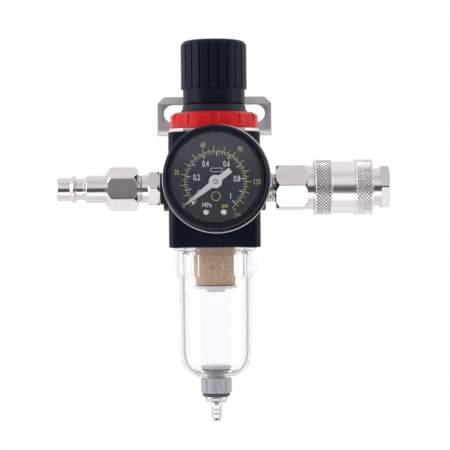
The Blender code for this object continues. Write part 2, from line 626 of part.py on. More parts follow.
adapter_hex = lambda limit=None: hexagon(14.7, 30, limit)
piece("inlet_adapter", turned([(3.4, 13.4), (4.9, 13.4), (5.3, 14.0), (5.3, 24.4), (adapter_hex(7.6), 24.4),
                               (adapter_hex(), 25.0), (adapter_hex(), 28.7), (adapter_hex(7.6), 29.3),
                               (6.15, 29.4), (6.15, 32.0)] + ridges(5.75, 6.2, 32.1, 34.1, 2)
                              + [(5.75, 35.2), (5.75, 41.0), (3.4, 41.0)], 24), NICKEL, INLET)
plug_hex = lambda limit=None: hexagon(PLUG_AF, 0, limit)
piece("inlet_plug", turned([(6.5, 34.1), (plug_hex(8.75), 34.1), (plug_hex(), 35.9), (plug_hex(), 45.2),
                            (plug_hex(8.75), 47.0), (7.4, 47.2), (7.4, 47.9), (6.05, 48.0), (6.05, 56.5),
                            (4.65, 57.9), (4.65, 61.2), (6.1, 62.0), (6.1, 62.6), (5.1, 63.9),
                            (5.1, 69.3), (4.8, PLUG_TIP), (3.4, PLUG_TIP), (3.4, 42.0), (6.5, 42.0)], 24),
      NICKEL, INLET, turn=(0, 0, 2))

# =============================================================================
# Outlet: nipple and quick-connect coupler.  Heights run outward.
# =============================================================================
piece("outlet_nipple", turned([(3.4, 13.4), (4.9, 13.4), (5.3, 14.0), (5.3, 22.9)]
                              + ridges(6.0, 6.5, 22.95, 27.0, 4)
                              + [(6.0, 27.1), (6.0, 35.0), (3.4, 35.0)], 20), NICKEL, OUTLET)
body_hex = lambda limit=None: hexagon(COUPLER_AF, 30, limit)
piece("coupler_body", turned([(6.8, 27.2), (body_hex(9.9), 27.2), (body_hex(), 28.6), (body_hex(), 39.0),
                              (body_hex(9.8), 40.9), (9.55, 41.0), (9.55, 50.0), (7.3, 50.0), (7.3, 44.7),
                              (6.2, 44.7), (6.2, 38.0), (3.8, 38.0), (3.8, 35.5), (6.8, 35.5)], 24),
      NICKEL, OUTLET, turn=(0, 0, -5.3))
end_hex = lambda limit=None: hexagon(18.3, 30, limit)
barrel = piece("coupler_barrel", turned([(7.0, 45.0), (7.0, 50.3), (8.25, 50.3), (8.25, 67.9), (7.6, 67.9),
                                         (7.6, 69.5), (8.25, 69.5), (8.25, 73.4), (end_hex(), 73.5),
                                         (end_hex(), 75.9), (end_hex(8.8), COUPLER_TIP), (7.2, COUPLER_TIP),
                                         (6.4, 76.2), (6.4, 57.2), (7.0, 57.2), (7.0, 54.0), (6.2, 54.0),
                                         (6.2, 45.0)], 24), NICKEL, OUTLET)
for turn_x in (0, 90):
    tool(barrel, rod(1.6, -12, 12, 8), parent=OUTLET, at=(0, 0, BALL_STATION), turn=(90, 0, turn_x))
piece("coupler_sleeve", turned([(12.15, 44.0), (12.15, 51.8), (11.4, 51.9), (11.4, 61.9), (12.25, 62.0),
                                (12.25, 69.8), (9.6, 69.8), (9.6, 67.9), (8.55, 67.9), (8.55, 67.2),
                                (9.6, 67.1), (9.6, 66.6), (8.55, 63.9), (8.55, 59.3), (9.9, 59.3),
                                (9.9, 44.0)], 28), NICKEL, OUTLET)
piece("sleeve_spring", coil(9.05, 0.45, 50.6, 59.0, 4.5, 12, 4), STEEL, OUTLET)
piece("retaining_ring", turned([(7.9, 68.2), (9.2, 68.2), (9.2, 69.2), (7.9, 69.2)], 20), STEEL, OUTLET)
piece("coupler_seal", turned([(4.9, 54.4), (6.7, 54.4), (6.7, 56.9), (5.3, 56.9), (4.9, 56.4)], 20),
      RUBBER, OUTLET)
piece("coupler_valve", turned([(0, 46.0), (2.2, 46.0), (2.6, 46.5), (2.6, 52.2), (5.8, 52.2), (5.8, 53.4),
                               (4.4, 54.0), (0, 54.0)], 16, ring=False), BRASS, OUTLET)
piece("coupler_valve_spring", coil(4.3, 0.45, 38.3, 51.9, 5, 10, 4), STEEL, OUTLET)
for number, (y, z) in enumerate(((-1, 0), (0, -1), (1, 0), (0, 1)), start=1):
    bm = bmesh.new()
    bmesh.ops.create_uvsphere(bm, u_segments=8, v_segments=6, radius=BALL_R * MM)
    piece("locking_ball_%d" % number, bm, STEEL, ASSEMBLY,
          (BALL_STATION, y * BALL_ORBIT, z * BALL_ORBIT), smooth=60)
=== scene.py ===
import math

import bmesh
import bpy
from mathutils import Matrix, Vector, noise


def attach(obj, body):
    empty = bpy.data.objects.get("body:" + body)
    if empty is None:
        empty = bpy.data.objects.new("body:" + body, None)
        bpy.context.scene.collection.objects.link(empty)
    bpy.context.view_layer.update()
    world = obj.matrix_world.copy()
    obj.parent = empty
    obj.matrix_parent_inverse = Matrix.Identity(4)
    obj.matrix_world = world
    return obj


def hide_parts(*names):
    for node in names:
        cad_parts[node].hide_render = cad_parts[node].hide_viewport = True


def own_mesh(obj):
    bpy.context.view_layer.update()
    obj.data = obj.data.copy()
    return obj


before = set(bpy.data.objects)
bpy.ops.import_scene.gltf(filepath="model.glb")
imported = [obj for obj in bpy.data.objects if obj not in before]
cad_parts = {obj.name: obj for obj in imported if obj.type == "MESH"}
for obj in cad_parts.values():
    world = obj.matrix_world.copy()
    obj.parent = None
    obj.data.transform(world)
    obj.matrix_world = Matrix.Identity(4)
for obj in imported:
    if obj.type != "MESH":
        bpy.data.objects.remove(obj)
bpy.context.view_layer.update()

MM = 0.001
PI = math.pi


# =============================================================================
# Frames, as in the CAD: millimetres about the crossing of port and knob axes
# =============================================================================
def at(x, y, z):
    return Matrix.Translation((x * MM, y * MM, z * MM))


def rot(deg, axis):
    return Matrix.Rotation(math.radians(deg), 4, axis)


ASM = at(0, -30, -34.5)
GAUGE = ASM @ at(1.1, 0, 3.4) @ rot(90, "X")
HUB = (-0.5, -1.2)
FACE = GAUGE @ at(-0.35, 0.6, 0)
AXIS = GAUGE @ at(HUB[0], HUB[1], 0)
REAR = ASM @ at(0, 0, 3.4) @ rot(-90, "X")
INLET = ASM @ rot(-90, "Y")
OUTLET = ASM @ rot(90, "Y")


# =============================================================================
# Materials, all from nodes
# =============================================================================
def lin(r, g, b):
    def one(c):
        c /= 255.0
        return c / 12.92 if c <= 0.04045 else ((c + 0.055) / 1.055) ** 2.4
    return (one(r), one(g), one(b))


class Nodes:
    def __init__(self, name):
        self.mat = bpy.data.materials.new(name)
        self.mat.use_nodes = True
        self.tree = self.mat.node_tree
        self.shader = self.tree.nodes["Principled BSDF"]
        self.out = self.tree.nodes["Material Output"]

    def add(self, kind, **values):
        node = self.tree.nodes.new(kind)
        for key, value in values.items():
            if key in node.inputs:
                node.inputs[key].default_value = value
            else:
                setattr(node, key, value)
        return node

    def link(self, a, b):
        self.tree.links.new(a, b)

    def coords(self, scale=(1, 1, 1)):
        tex = self.add("ShaderNodeTexCoord")
        mapping = self.add("ShaderNodeMapping")
        mapping.inputs["Scale"].default_value = scale
        self.link(tex.outputs["Object"], mapping.inputs["Vector"])
        return mapping.outputs["Vector"]

    def noise(self, size, scale=(1, 1, 1), detail=3.0, rough=0.5):
        """Noise whose grains are about size metres across."""
        node = self.add("ShaderNodeTexNoise")
        node.inputs["Scale"].default_value = 1.0 / size
        node.inputs["Detail"].default_value = detail
        node.inputs["Roughness"].default_value = rough
        self.link(self.coords(scale), node.inputs["Vector"])
        return node.outputs["Fac"]

    def range(self, value, low, high, a=0.25, b=0.75):
        node = self.add("ShaderNodeMapRange")
        node.inputs["From Min"].default_value = a
        node.inputs["From Max"].default_value = b
        node.inputs["To Min"].default_value = low
        node.inputs["To Max"].default_value = high
        self.link(value, node.inputs["Value"])
        return node.outputs["Result"]

    def blend(self, factor, a, b):
        node = self.add("ShaderNodeMix")
        node.data_type = "RGBA"
        self.link(factor, node.inputs[0])
        for socket, value in ((node.inputs[6], a), (node.inputs[7], b)):
            if isinstance(value, tuple):
                socket.default_value = (*value, 1.0)
            else:
                self.link(value, socket)
        return node.outputs[2]

    def bump(self, height, strength, distance, normal=None):
        node = self.add("ShaderNodeBump")
        node.inputs["Strength"].default_value = strength
        node.inputs["Distance"].default_value = distance
        self.link(height, node.inputs["Height"])
        if normal is not None:
            self.link(normal, node.inputs["Normal"])
        return node.outputs["Normal"]


def tone(rgb, k):
    return tuple(min(1.0, c * k) for c in rgb)


def plastic(name, rgb, rough, vary=0.12, grain=0.00035, relief=0.000012, strength=0.5,
            specular=0.5, coat=0.0, coat_rough=0.1, patch=0.006):
    n = Nodes(name)
    s = n.shader
    if specular < 0.5:
        s.inputs["Specular Tint"].default_value = (0.74, 0.82, 1.0, 1.0) if rgb[2] > rgb[0] else (1, 1, 1, 1)
    s.inputs["Specular IOR Level"].default_value = specular
    s.inputs["Coat Weight"].default_value = coat
    s.inputs["Coat Roughness"].default_value = coat_rough
    big = n.noise(patch, detail=4)
    n.link(n.blend(n.range(big, 0, 1), tone(rgb, 1 - vary), tone(rgb, 1 + vary)), s.inputs["Base Color"])
    n.link(n.range(n.noise(patch * 0.4), rough - 0.05, rough + 0.05), s.inputs["Roughness"])
    n.link(n.bump(n.noise(grain, detail=5, rough=0.6), strength, relief), s.inputs["Normal"])
    return n.mat


def metal(name, rgb, rough, lines=None, line=0.00006, relief=0.0000025, strength=0.5, vary=0.05,
          haze=0.05, patch=0.004):
    """Metal with turning lines across the axis named, or a fine all-over grain."""
    n = Nodes(name)
    s = n.shader
    s.inputs["Metallic"].default_value = 1.0
    stretch = {"X": (1, .012, .012), "Y": (.012, 1, .012), "Z": (.012, .012, 1), None: (1, 1, 1)}[lines]
    n.link(n.blend(n.range(n.noise(patch, detail=5), 0, 1), tone(rgb, 1 - vary), tone(rgb, 1 + vary)),
           s.inputs["Base Color"])
    n.link(n.range(n.noise(0.0015, detail=5, rough=0.65), rough - haze, rough + haze), s.inputs["Roughness"])
    n.link(n.bump(n.noise(line, stretch, detail=2), strength, relief), s.inputs["Normal"])
    return n.mat


def zinc_sheet():
    """Bright zinc on rolled sheet: faint spangle, long rolling streaks and a cooler bloom."""
    n = Nodes("look_zinc")
    s = n.shader
    s.inputs["Metallic"].default_value = 1.0
    vor = n.add("ShaderNodeTexVoronoi")
    vor.inputs["Scale"].default_value = 420.0
    n.link(n.coords(), vor.inputs["Vector"])
    spangle = n.range(vor.outputs["Color"], 0.0, 1.0, 0.0, 1.0)
    streak = n.noise(0.0008, (0.04, 1, 1), detail=4)
    first = n.blend(n.range(streak, 0, 1), (0.52, 0.54, 0.57), (0.67, 0.675, 0.68))
    n.link(n.blend(n.range(n.noise(0.012), 0.0, 0.55), first, (0.65, 0.635, 0.63)), s.inputs["Base Color"])
    n.link(n.range(spangle, 0.34, 0.46, 0, 1), s.inputs["Roughness"])
    n.link(n.bump(n.noise(0.00012, detail=4), 0.4, 0.000004,
                  n.bump(streak, 0.25, 0.000004)), s.inputs["Normal"])
    return n.mat


def sinter():
    """Sintered granules: pale tan grains with darker pores between them."""
    n = Nodes("look_sinter")
    s = n.shader
    vor = n.add("ShaderNodeTexVoronoi")
    vor.inputs["Scale"].default_value = 1600.0
    n.link(n.coords(), vor.inputs["Vector"])
    pores = n.range(vor.outputs["Distance"], 0.0, 1.0, 0.15, 0.75)
    shade = n.blend(pores, lin(222, 190, 162), lin(165, 128, 100))
    n.link(n.blend(n.range(n.noise(0.003, detail=4), 0, 0.5), shade, lin(206, 174, 148)),
           s.inputs["Base Color"])
    s.inputs["Roughness"].default_value = 0.9
    s.inputs["Specular IOR Level"].default_value = 0.25
    n.link(n.bump(vor.outputs["Distance"], 0.7, -0.00006), s.inputs["Normal"])
    return n.mat


def clear(name, tint, rough, ior=1.49, bump=0.0, through=0.9):
    """Clear plastic.  Rays on their way to a lamp pass, so what is inside stays lit."""
    n = Nodes(name)
    s = n.shader
    s.inputs["Transmission Weight"].default_value = 1.0
    s.inputs["IOR"].default_value = ior
    s.inputs["Specular Tint"].default_value = (0.86, 0.91, 1.0, 1.0)
    n.link(n.blend(n.range(n.noise(0.01), 0, 1), tint, tone(tint, 0.985)), s.inputs["Base Color"])
    n.link(n.range(n.noise(0.002, detail=4), max(0.0, rough - 0.01), rough + 0.02), s.inputs["Roughness"])
    if bump:
        n.link(n.bump(n.noise(0.004, detail=2), 0.35, bump), s.inputs["Normal"])
    path = n.add("ShaderNodeLightPath")
    veil = n.add("ShaderNodeBsdfTransparent")
    veil.inputs["Color"].default_value = (*tone(tint, through), 1)
    mix = n.add("ShaderNodeMixShader")
    either = n.add("ShaderNodeMath", operation="MAXIMUM")
    n.link(path.outputs["Is Shadow Ray"], either.inputs[0])
    n.link(path.outputs["Is Diffuse Ray"], either.inputs[1])
    n.link(either.outputs[0], mix.inputs[0])
    n.link(s.outputs[0], mix.inputs[1])
    n.link(veil.outputs[0], mix.inputs[2])
    n.link(mix.outputs[0], n.out.inputs["Surface"])
    return n.mat


def dial_face():
    """Satin printed sheet: deep blue black, its tone varying a little at random."""
    n = Nodes("look_dial")
    s = n.shader
    n.link(n.blend(n.range(n.noise(0.004), 0, 1), (0.0030, 0.0070, 0.0190), (0.0045, 0.0095, 0.0240)),
           s.inputs["Base Color"])
    s.inputs["Specular IOR Level"].default_value = 0.1
    n.link(n.range(n.noise(0.0006), 0.42, 0.55), s.inputs["Roughness"])
    n.link(n.bump(n.noise(0.0001), 0.25, 0.000003), s.inputs["Normal"])
    return n.mat


def knurl_nickel_groove_shade():
    """Nickel knurl with painted shade: the cut grooves, below the tops of the diamonds, are coloured darker."""
    n = Nodes("look_nickel_knurl")
    s = n.shader
    s.inputs["Metallic"].default_value = 1.0
    s.inputs["Roughness"].default_value = 0.22
    axes = n.add("ShaderNodeSeparateXYZ")
    tex = n.add("ShaderNodeTexCoord")
    n.link(tex.outputs["Object"], axes.inputs[0])
    parts = []
    for socket, offset in (("Y", 0.030), ("Z", 0.0345)):
        shift = n.add("ShaderNodeMath", operation="ADD")
        n.link(axes.outputs[socket], shift.inputs[0])
        shift.inputs[1].default_value = offset
        square = n.add("ShaderNodeMath", operation="MULTIPLY")
        n.link(shift.outputs[0], square.inputs[0])
        n.link(shift.outputs[0], square.inputs[1])
        parts.append(square.outputs[0])
    total = n.add("ShaderNodeMath", operation="ADD")
    n.link(parts[0], total.inputs[0])
    n.link(parts[1], total.inputs[1])
    radius = n.add("ShaderNodeMath", operation="SQRT")
    n.link(total.outputs[0], radius.inputs[0])
    top = n.range(radius.outputs[0], 0.0, 1.0, 0.01180, 0.01206)
    below = n.range(radius.outputs[0], 1.0, 0.0, 0.01143, 0.01146)
    plain = n.add("ShaderNodeMath", operation="MAXIMUM")
    n.link(top, plain.inputs[0])
    n.link(below, plain.inputs[1])
    # painted shade: the grooves take the dark nickel colour, the diamond tops and the plain middle band the bright one
    n.link(n.blend(plain.outputs[0], (0.42, 0.40, 0.39), (0.90, 0.87, 0.86)), s.inputs["Base Color"])
    n.link(n.bump(n.noise(0.00008, (1, .012, .012), detail=2), 0.4, 0.000002), s.inputs["Normal"])
    return n.mat


def bowl_look():
    """Thin-walled clear moulding: hardly any bending of light, with painted shade: blue-grey where seen edge on."""
    n = Nodes("look_bowl")
    s = n.shader
    s.inputs["Transmission Weight"].default_value = 1.0
    s.inputs["IOR"].default_value = 1.07
    s.inputs["Roughness"].default_value = 0.0
    s.inputs["Coat Weight"].default_value = 0.75
    s.inputs["Coat IOR"].default_value = 1.5
    s.inputs["Coat Roughness"].default_value = 0.03
    # painted shade: the base colour turns blue-grey towards grazing view, in place of the darker edges that bending
    # light would give the moulding
    edge = n.add("ShaderNodeLayerWeight")
    edge.inputs["Blend"].default_value = 0.28
    n.link(n.blend(n.range(edge.outputs["Facing"], 0, 1, 0.25, 1.0), (0.985, 0.989, 0.994), (0.60, 0.64, 0.71)),
           s.inputs["Base Color"])
    path = n.add("ShaderNodeLightPath")
    veil = n.add("ShaderNodeBsdfTransparent")
    veil.inputs["Color"].default_value = (0.96, 0.965, 0.97, 1)
    mix = n.add("ShaderNodeMixShader")
    either = n.add("ShaderNodeMath", operation="MAXIMUM")
    n.link(path.outputs["Is Shadow Ray"], either.inputs[0])
    n.link(path.outputs["Is Diffuse Ray"], either.inputs[1])
    n.link(either.outputs[0], mix.inputs[0])
    n.link(s.outputs[0], mix.inputs[1])
    n.link(veil.outputs[0], mix.inputs[2])
    n.link(mix.outputs[0], n.out.inputs["Surface"])
    return n.mat


M = {
    "cast": plastic("look_cast", (0.0040, 0.0065, 0.0150), 0.31, 0.25, 0.00030, 0.000018, 0.6, 0.2),
    "knob": plastic("look_knob", (0.0062, 0.0090, 0.0200), 0.33, 0.15, 0.00022, 0.000008, 0.5, 0.14),
    "red": plastic("look_red", (0.70, 0.0085, 0.0125), 0.30, 0.06, 0.0003, 0.000006, 0.4, 0.2),
    "zinc": zinc_sheet(),
    "nickel_x": metal("look_nickel_x", (0.785, 0.752, 0.740), 0.12, "X"),
    "nickel_knurl": knurl_nickel_groove_shade(),
    "nickel_flat": metal("look_nickel_flat", (0.765, 0.735, 0.720), 0.17, None, 0.00012, 0.000002),
    "nickel_y": metal("look_nickel_y", (0.755, 0.725, 0.710), 0.16, "Y"),
    "brass": metal("look_brass", (0.74, 0.55, 0.27), 0.26, "Y", vary=0.08),
    "brass_z": metal("look_brass_z", (0.74, 0.55, 0.27), 0.26, "Z", vary=0.08),
    "steel": metal("look_spring_steel", (0.46, 0.46, 0.48), 0.28, None, 0.0001, 0.000002, vary=0.1),
    "ball": metal("look_ball_steel", (0.66, 0.66, 0.67), 0.08, None, 0.0001, 0.0000005, vary=0.02, haze=0.02),
    "plated": metal("look_plated", (0.50, 0.50, 0.51), 0.24, "Y"),
    "screw": metal("look_screw", (0.62, 0.62, 0.63), 0.20, "Y"),
    "chrome": metal("look_chrome", (0.86, 0.86, 0.865), 0.055, "Y", 0.0001, 0.0000008, vary=0.01, haze=0.02),
    "rubber": plastic("look_rubber", (0.016, 0.016, 0.017), 0.68, 0.2, 0.00018, 0.000018, 0.6, 0.3),
    "bezel": plastic("look_bezel", (0.0045, 0.0060, 0.0140), 0.22, 0.12, 0.00035, 0.000004, 0.4, 0.2),
    "dial": dial_face(),
    "pointer": plastic("look_pointer", (0.85, 0.85, 0.88), 0.40, 0.05, 0.0002, 0.000003, 0.3),
    "white_ink": plastic("look_white_ink", (0.90, 0.90, 0.93), 0.55, 0.05, 0.0001, 0.000002, 0.3),
    "yellow_ink": plastic("look_yellow_ink", (0.78, 0.64, 0.12), 0.55, 0.06, 0.0001, 0.000002, 0.3),
    "lens": clear("look_lens", (0.965, 0.975, 0.99), 0.01, 1.50),
    "bowl": bowl_look(),
    "sinter": sinter(),
    "natural": plastic("look_natural", (0.70, 0.71, 0.71), 0.42, 0.04, 0.0004, 0.000006, 0.4),
    "black_plastic": plastic("look_black_plastic", (0.010, 0.012, 0.018), 0.40, 0.15, 0.0003, 0.000008, 0.5, 0.25),
    "grey_plastic": plastic("look_grey_plastic", (0.43, 0.435, 0.485), 0.27, 0.06, 0.0003, 0.000008, 0.5),
    "dark_ring": plastic("look_dark_ring", (0.075, 0.080, 0.092), 0.5, 0.12, 0.0003, 0.00001, 0.5),
    "barb": metal("look_barb", (0.74, 0.74, 0.77), 0.22, "Z"),
    "soft_seal": plastic("look_soft_seal", (0.10, 0.10, 0.11), 0.5, 0.1, 0.0003, 0.00001, 0.5),
}


# =============================================================================
# Shape tools
# =============================================================================
def rounded(points, closed=True, steps=3):
    """Ease each corner given as (r, z, fillet)."""
    out, n = [], len(points)
    for i, p in enumerate(points):
        here = Vector(p[:2])
        f = p[2] if len(p) > 2 else 0
        if f <= 0 or (not closed and i in (0, n - 1)):
            out.append((here.x, here.y))
            continue
        u = Vector(points[i - 1][:2]) - here
        v = Vector(points[(i + 1) % n][:2]) - here
        reach = 0.47 * min(u.length, v.length)
        u.normalize()
        v.normalize()
        half = max(0.05, u.angle(v) / 2)
        d = min(f / math.tan(half), reach)
        a, b = here + u * d, here + v * d
        for k in range(steps + 1):
            t = k / steps
            q = a * (1 - t) ** 2 + here * (2 * t * (1 - t)) + b * t * t
            out.append((q.x, q.y))
    return out


def dense(points, step, z0, z1, closed=True):
    """Add points along the edges that run between two heights."""
    out, n = [], len(points)
    for i, p in enumerate(points):
        out.append(p)
        if i == n - 1 and not closed:
            break
        q = points[(i + 1) % n]
        if min(p[1], q[1]) >= z0 - 1e-3 and max(p[1], q[1]) <= z1 + 1e-3 and abs(q[1] - p[1]) > 0.05:
            k = int(max(abs(q[1] - p[1]), abs(q[0] - p[0])) / step)
            for j in range(1, k + 1):
                t = j / (k + 1)
                out.append((p[0] + (q[0] - p[0]) * t, p[1] + (q[1] - p[1]) * t))
    return out


def turned(points, n=160, ring=True, shape=None):
    bm = bmesh.new()
    rows = []
    for r, z in points:
        if r <= 1e-9:
            rows.append([bm.verts.new((0, 0, z * MM))])
            continue
        row = []
        for i in range(n):
            a = 2 * PI * i / n
            q = shape(a, r, z) if shape else r
            row.append(bm.verts.new((q * math.cos(a) * MM, q * math.sin(a) * MM, z * MM)))
        rows.append(row)
    last = len(rows) if ring else len(rows) - 1
    for k in range(last):
        low, high = rows[k], rows[(k + 1) % len(rows)]
        if len(low) == 1 and len(high) == 1:
            continue
        for i in range(n):
            j = (i + 1) % n
            if len(low) == 1:
                bm.faces.new((low[0], high[i], high[j]))
            elif len(high) == 1:
                bm.faces.new((low[i], low[j], high[0]))
            else:
                bm.faces.new((low[i], low[j], high[j], high[i]))
    bmesh.ops.recalc_face_normals(bm, faces=bm.faces)
    return bm


def loft(rings):
    """Join rings of the same number of points, with a face on each end."""
    bm = bmesh.new()
    rows = [[bm.verts.new((x * MM, y * MM, z * MM)) for x, y, z in ring] for ring in rings]
    n = len(rows[0])
    for low, high in zip(rows, rows[1:]):
        for i in range(n):
            j = (i + 1) % n
            bm.faces.new((low[i], low[j], high[j], high[i]))
    bm.faces.new(list(reversed(rows[0])))
    bm.faces.new(rows[-1])
    bmesh.ops.recalc_face_normals(bm, faces=bm.faces)
    return bm


def outline(width, height, r, steps=8, inset=0.0):
    w, h, q = width / 2 - inset, height / 2 - inset, max(0.02, r - inset)
    points = []
    for cx, cy, start in ((1, 1, 0), (-1, 1, 90), (-1, -1, 180), (1, -1, 270)):
        for k in range(steps + 1):
            a = math.radians(start + 90 * k / steps)
            points.append((cx * (w - q) + q * math.cos(a), cy * (h - q) + q * math.sin(a)))
    return points


def stacked(width, height, r, z0, z1, ease, steps=8):
    """Block with rounded upright corners and eased top and bottom edges."""
    rings = []
    for k in range(4):
        a = PI / 2 * k / 3
        rings.append((z0 + ease * (1 - math.sin(a)), ease * (1 - math.cos(a))))
    rings = rings[::-1]
    rings = sorted({(round(z, 5), round(i, 5)) for z, i in rings})
    full = rings + [(z1 - (z - z0), i) for z, i in reversed(rings)]
    return loft([[(x, y, z) for x, y in outline(width, height, r, steps, i)] for z, i in full])


def coil(radius, wire, z0, z1, turns, per_turn=40, sides=12, ground=True):
    """Compression spring wound at one even pitch from bottom to top."""
    steps = int(turns * per_turn)
    lo, hi = z0 + wire, z1 - wire
    path = []
    for i in range(steps + 1):
        f = i / steps
        a = 2 * PI * turns * f
        path.append(((radius * math.cos(a), radius * math.sin(a), lo + (hi - lo) * f), a))
    rise = (hi - lo) / (2 * PI * turns * radius)
    bm = bmesh.new()
    rows = []
    for centre, a in path:
        out = Vector((math.cos(a), math.sin(a), 0))
        up = Vector((-math.sin(a), math.cos(a), rise)).normalized().cross(out)
        if up.z < 0:
            up = -up
        rows.append([bm.verts.new((Vector(centre) + out * (wire * math.cos(2 * PI * k / sides))
                                   + up * (wire * math.sin(2 * PI * k / sides))) * MM)
                     for k in range(sides)])
    for low, high in zip(rows, rows[1:]):
        for i in range(sides):
            j = (i + 1) % sides
            bm.faces.new((low[i], low[j], high[j], high[i]))
    bm.faces.new(list(reversed(rows[0])))
    bm.faces.new(rows[-1])
    bmesh.ops.recalc_face_normals(bm, faces=bm.faces)
    return bm


def flat_part(loops, z0, z1, ease=0.0):
    """Sheet cut to closed loops, the first the outside and the rest holes, with eased edges."""
    curve = bpy.data.curves.new("tmp_sheet", "CURVE")
    curve.dimensions = "2D"
    curve.fill_mode = "BOTH"
    for loop in loops:
        spline = curve.splines.new("POLY")
        spline.points.add(len(loop) - 1)
        for p, (x, y) in zip(spline.points, loop):
            p.co = (x * MM, y * MM, 0, 1)
        spline.use_cyclic_u = True
    curve.extrude = ((z1 - z0) / 2 - ease) * MM
    curve.bevel_depth = ease * MM
    curve.bevel_resolution = 2
    curve.offset = -ease * MM
    obj = bpy.data.objects.new("tmp_sheet", curve)
    bpy.context.collection.objects.link(obj)
    bm = read_mesh(obj)
    bmesh.ops.remove_doubles(bm, verts=bm.verts, dist=2e-7)
    bm.transform(Matrix.Translation((0, 0, (z0 + z1) / 2 * MM)))
    bmesh.ops.recalc_face_normals(bm, faces=bm.faces)
    return bm


def read_mesh(obj, keep=False):
    bpy.context.view_layer.update()
    dg = bpy.context.evaluated_depsgraph_get()
    mesh = bpy.data.meshes.new_from_object(obj.evaluated_get(dg))
    bm = bmesh.new()
    bm.from_mesh(mesh)
    bpy.data.meshes.remove(mesh)
    if not keep:
        data = obj.data
        bpy.data.objects.remove(obj)
        if isinstance(data, bpy.types.Curve):
            bpy.data.curves.remove(data)
    return bm


def letters(text, height, x, y, z0, z1, wide=1.0, bold=0.0):
    """Figures as thin closed prisms, centred on a point."""
    curve = bpy.data.curves.new("tmp_text", "FONT")
    curve.body = text
    curve.align_x = "CENTER"
    curve.align_y = "CENTER"
    curve.size = height * 1.42 * MM
    curve.extrude = (z1 - z0) / 2 * MM
    curve.offset = bold * MM
    curve.resolution_u = 4
    obj = bpy.data.objects.new("tmp_text", curve)
    bpy.context.collection.objects.link(obj)
    bm = read_mesh(obj)
    bmesh.ops.remove_doubles(bm, verts=bm.verts, dist=2e-7)
    bm.transform(at(x, y, (z0 + z1) / 2) @ Matrix.Diagonal((wide, 1, 1, 1)))
    return bm


def merged(parts):
    mesh = bpy.data.meshes.new("tmp_join")
    total = bmesh.new()
    for bm in parts:
        bm.to_mesh(mesh)
        bm.free()
        total.from_mesh(mesh)
    bpy.data.meshes.remove(mesh)
    return total


def piece(name, bm, look, body="housing", xf=ASM, stands_for=(), smooth=30):
    bm.transform(xf)
    bmesh.ops.recalc_face_normals(bm, faces=bm.faces)
    mesh = bpy.data.meshes.new(name)
    bm.to_mesh(mesh)
    bm.free()
    mesh.materials.append(M[look])
    mesh.shade_smooth()
    mesh.set_sharp_from_angle(angle=math.radians(smooth))
    obj = bpy.data.objects.new(name, mesh)
    bpy.context.collection.objects.link(obj)
    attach(obj, body)
    if stands_for:
        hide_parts(*stands_for)
    return obj


def combined(base, tools, xf=ASM):
    """Cut, or join, a list of (mesh, frame, operation) with a base and return the mesh."""
    def temporary(bm, matrix, label):
        bm.transform(matrix)
        mesh = bpy.data.meshes.new(label)
        bm.to_mesh(mesh)
        bm.free()
        obj = bpy.data.objects.new(label, mesh)
        bpy.context.collection.objects.link(obj)
        return obj
    target = temporary(base, xf, "tmp_base")
    helpers = []
    for number, (bm, matrix, operation) in enumerate(tools):
        helper = temporary(bm, matrix, "tmp_tool_%d" % number)
        helpers.append(helper)
        step = target.modifiers.new("s%d" % number, "BOOLEAN")
        step.operation = operation
        step.solver = "EXACT"
        step.object = helper
    bm = read_mesh(target)
    for helper in helpers:
        bpy.data.objects.remove(helper)
    bmesh.ops.dissolve_degenerate(bm, edges=bm.edges, dist=1e-8)
    return bm


STILL = Matrix.Identity(4)


def rod(r, z0, z1, n=72, ease=0.0):
    points = [(0, z0), (r, z0, ease), (r, z1, ease), (0, z1)]
    return turned(rounded(points, False), n, ring=False)


def hexed(af, turn, z0, z1, limit, slope=0.7, crown=0.12):
    """Radius of a hexagon between two heights, its corners cut back by a turned chamfer."""
    corner = af / 2 / math.cos(PI / 6) - crown

    def shape(a, r, z):
        if z < z0 - 1e-3 or z > z1 + 1e-3 or r < limit - 1e-3:
            return r
        b = (a - math.radians(turn)) % (PI / 3) - PI / 6
        return min(af / 2 / math.cos(b), corner, limit + slope * max(0.0, min(z - z0, z1 - z)))
    return shape


def hex_rows(af, z0, z1, limit):
    """Heights for a chamfered hexagon: close together where the chamfer is."""
    big = af
    rows = [(big, z0)]
    rows += [(big, z0 + 0.16 * k) for k in range(1, 13)]
    rows += [(big, z1 - 0.16 * k) for k in range(12, 0, -1)]
    rows += [(big, z1)]
    return rows


def both(*shapes):
    def shape(a, r, z):
        for s in shapes:
            r = s(a, r, z)
        return r
    return shape


def thread(z0, z1, pitch, depth, root_round=0.6, hand=1, start=0.0):
    """Helical thread cut into a cylinder between two heights, fading at both ends."""
    def shape(a, r, z):
        if z < z0 or z > z1:
            return r
        t = (z / pitch - hand * a / (2 * PI) + start) % 1.0
        v = abs(2 * t - 1)
        cut = max(0.0, min(1.0, (v - 0.12) * 1.25))
        fade = min(1.0, (z - z0) / (0.35 * pitch), (z1 - z) / (0.35 * pitch))
        return r - depth * cut * max(0.0, fade)
    return shape


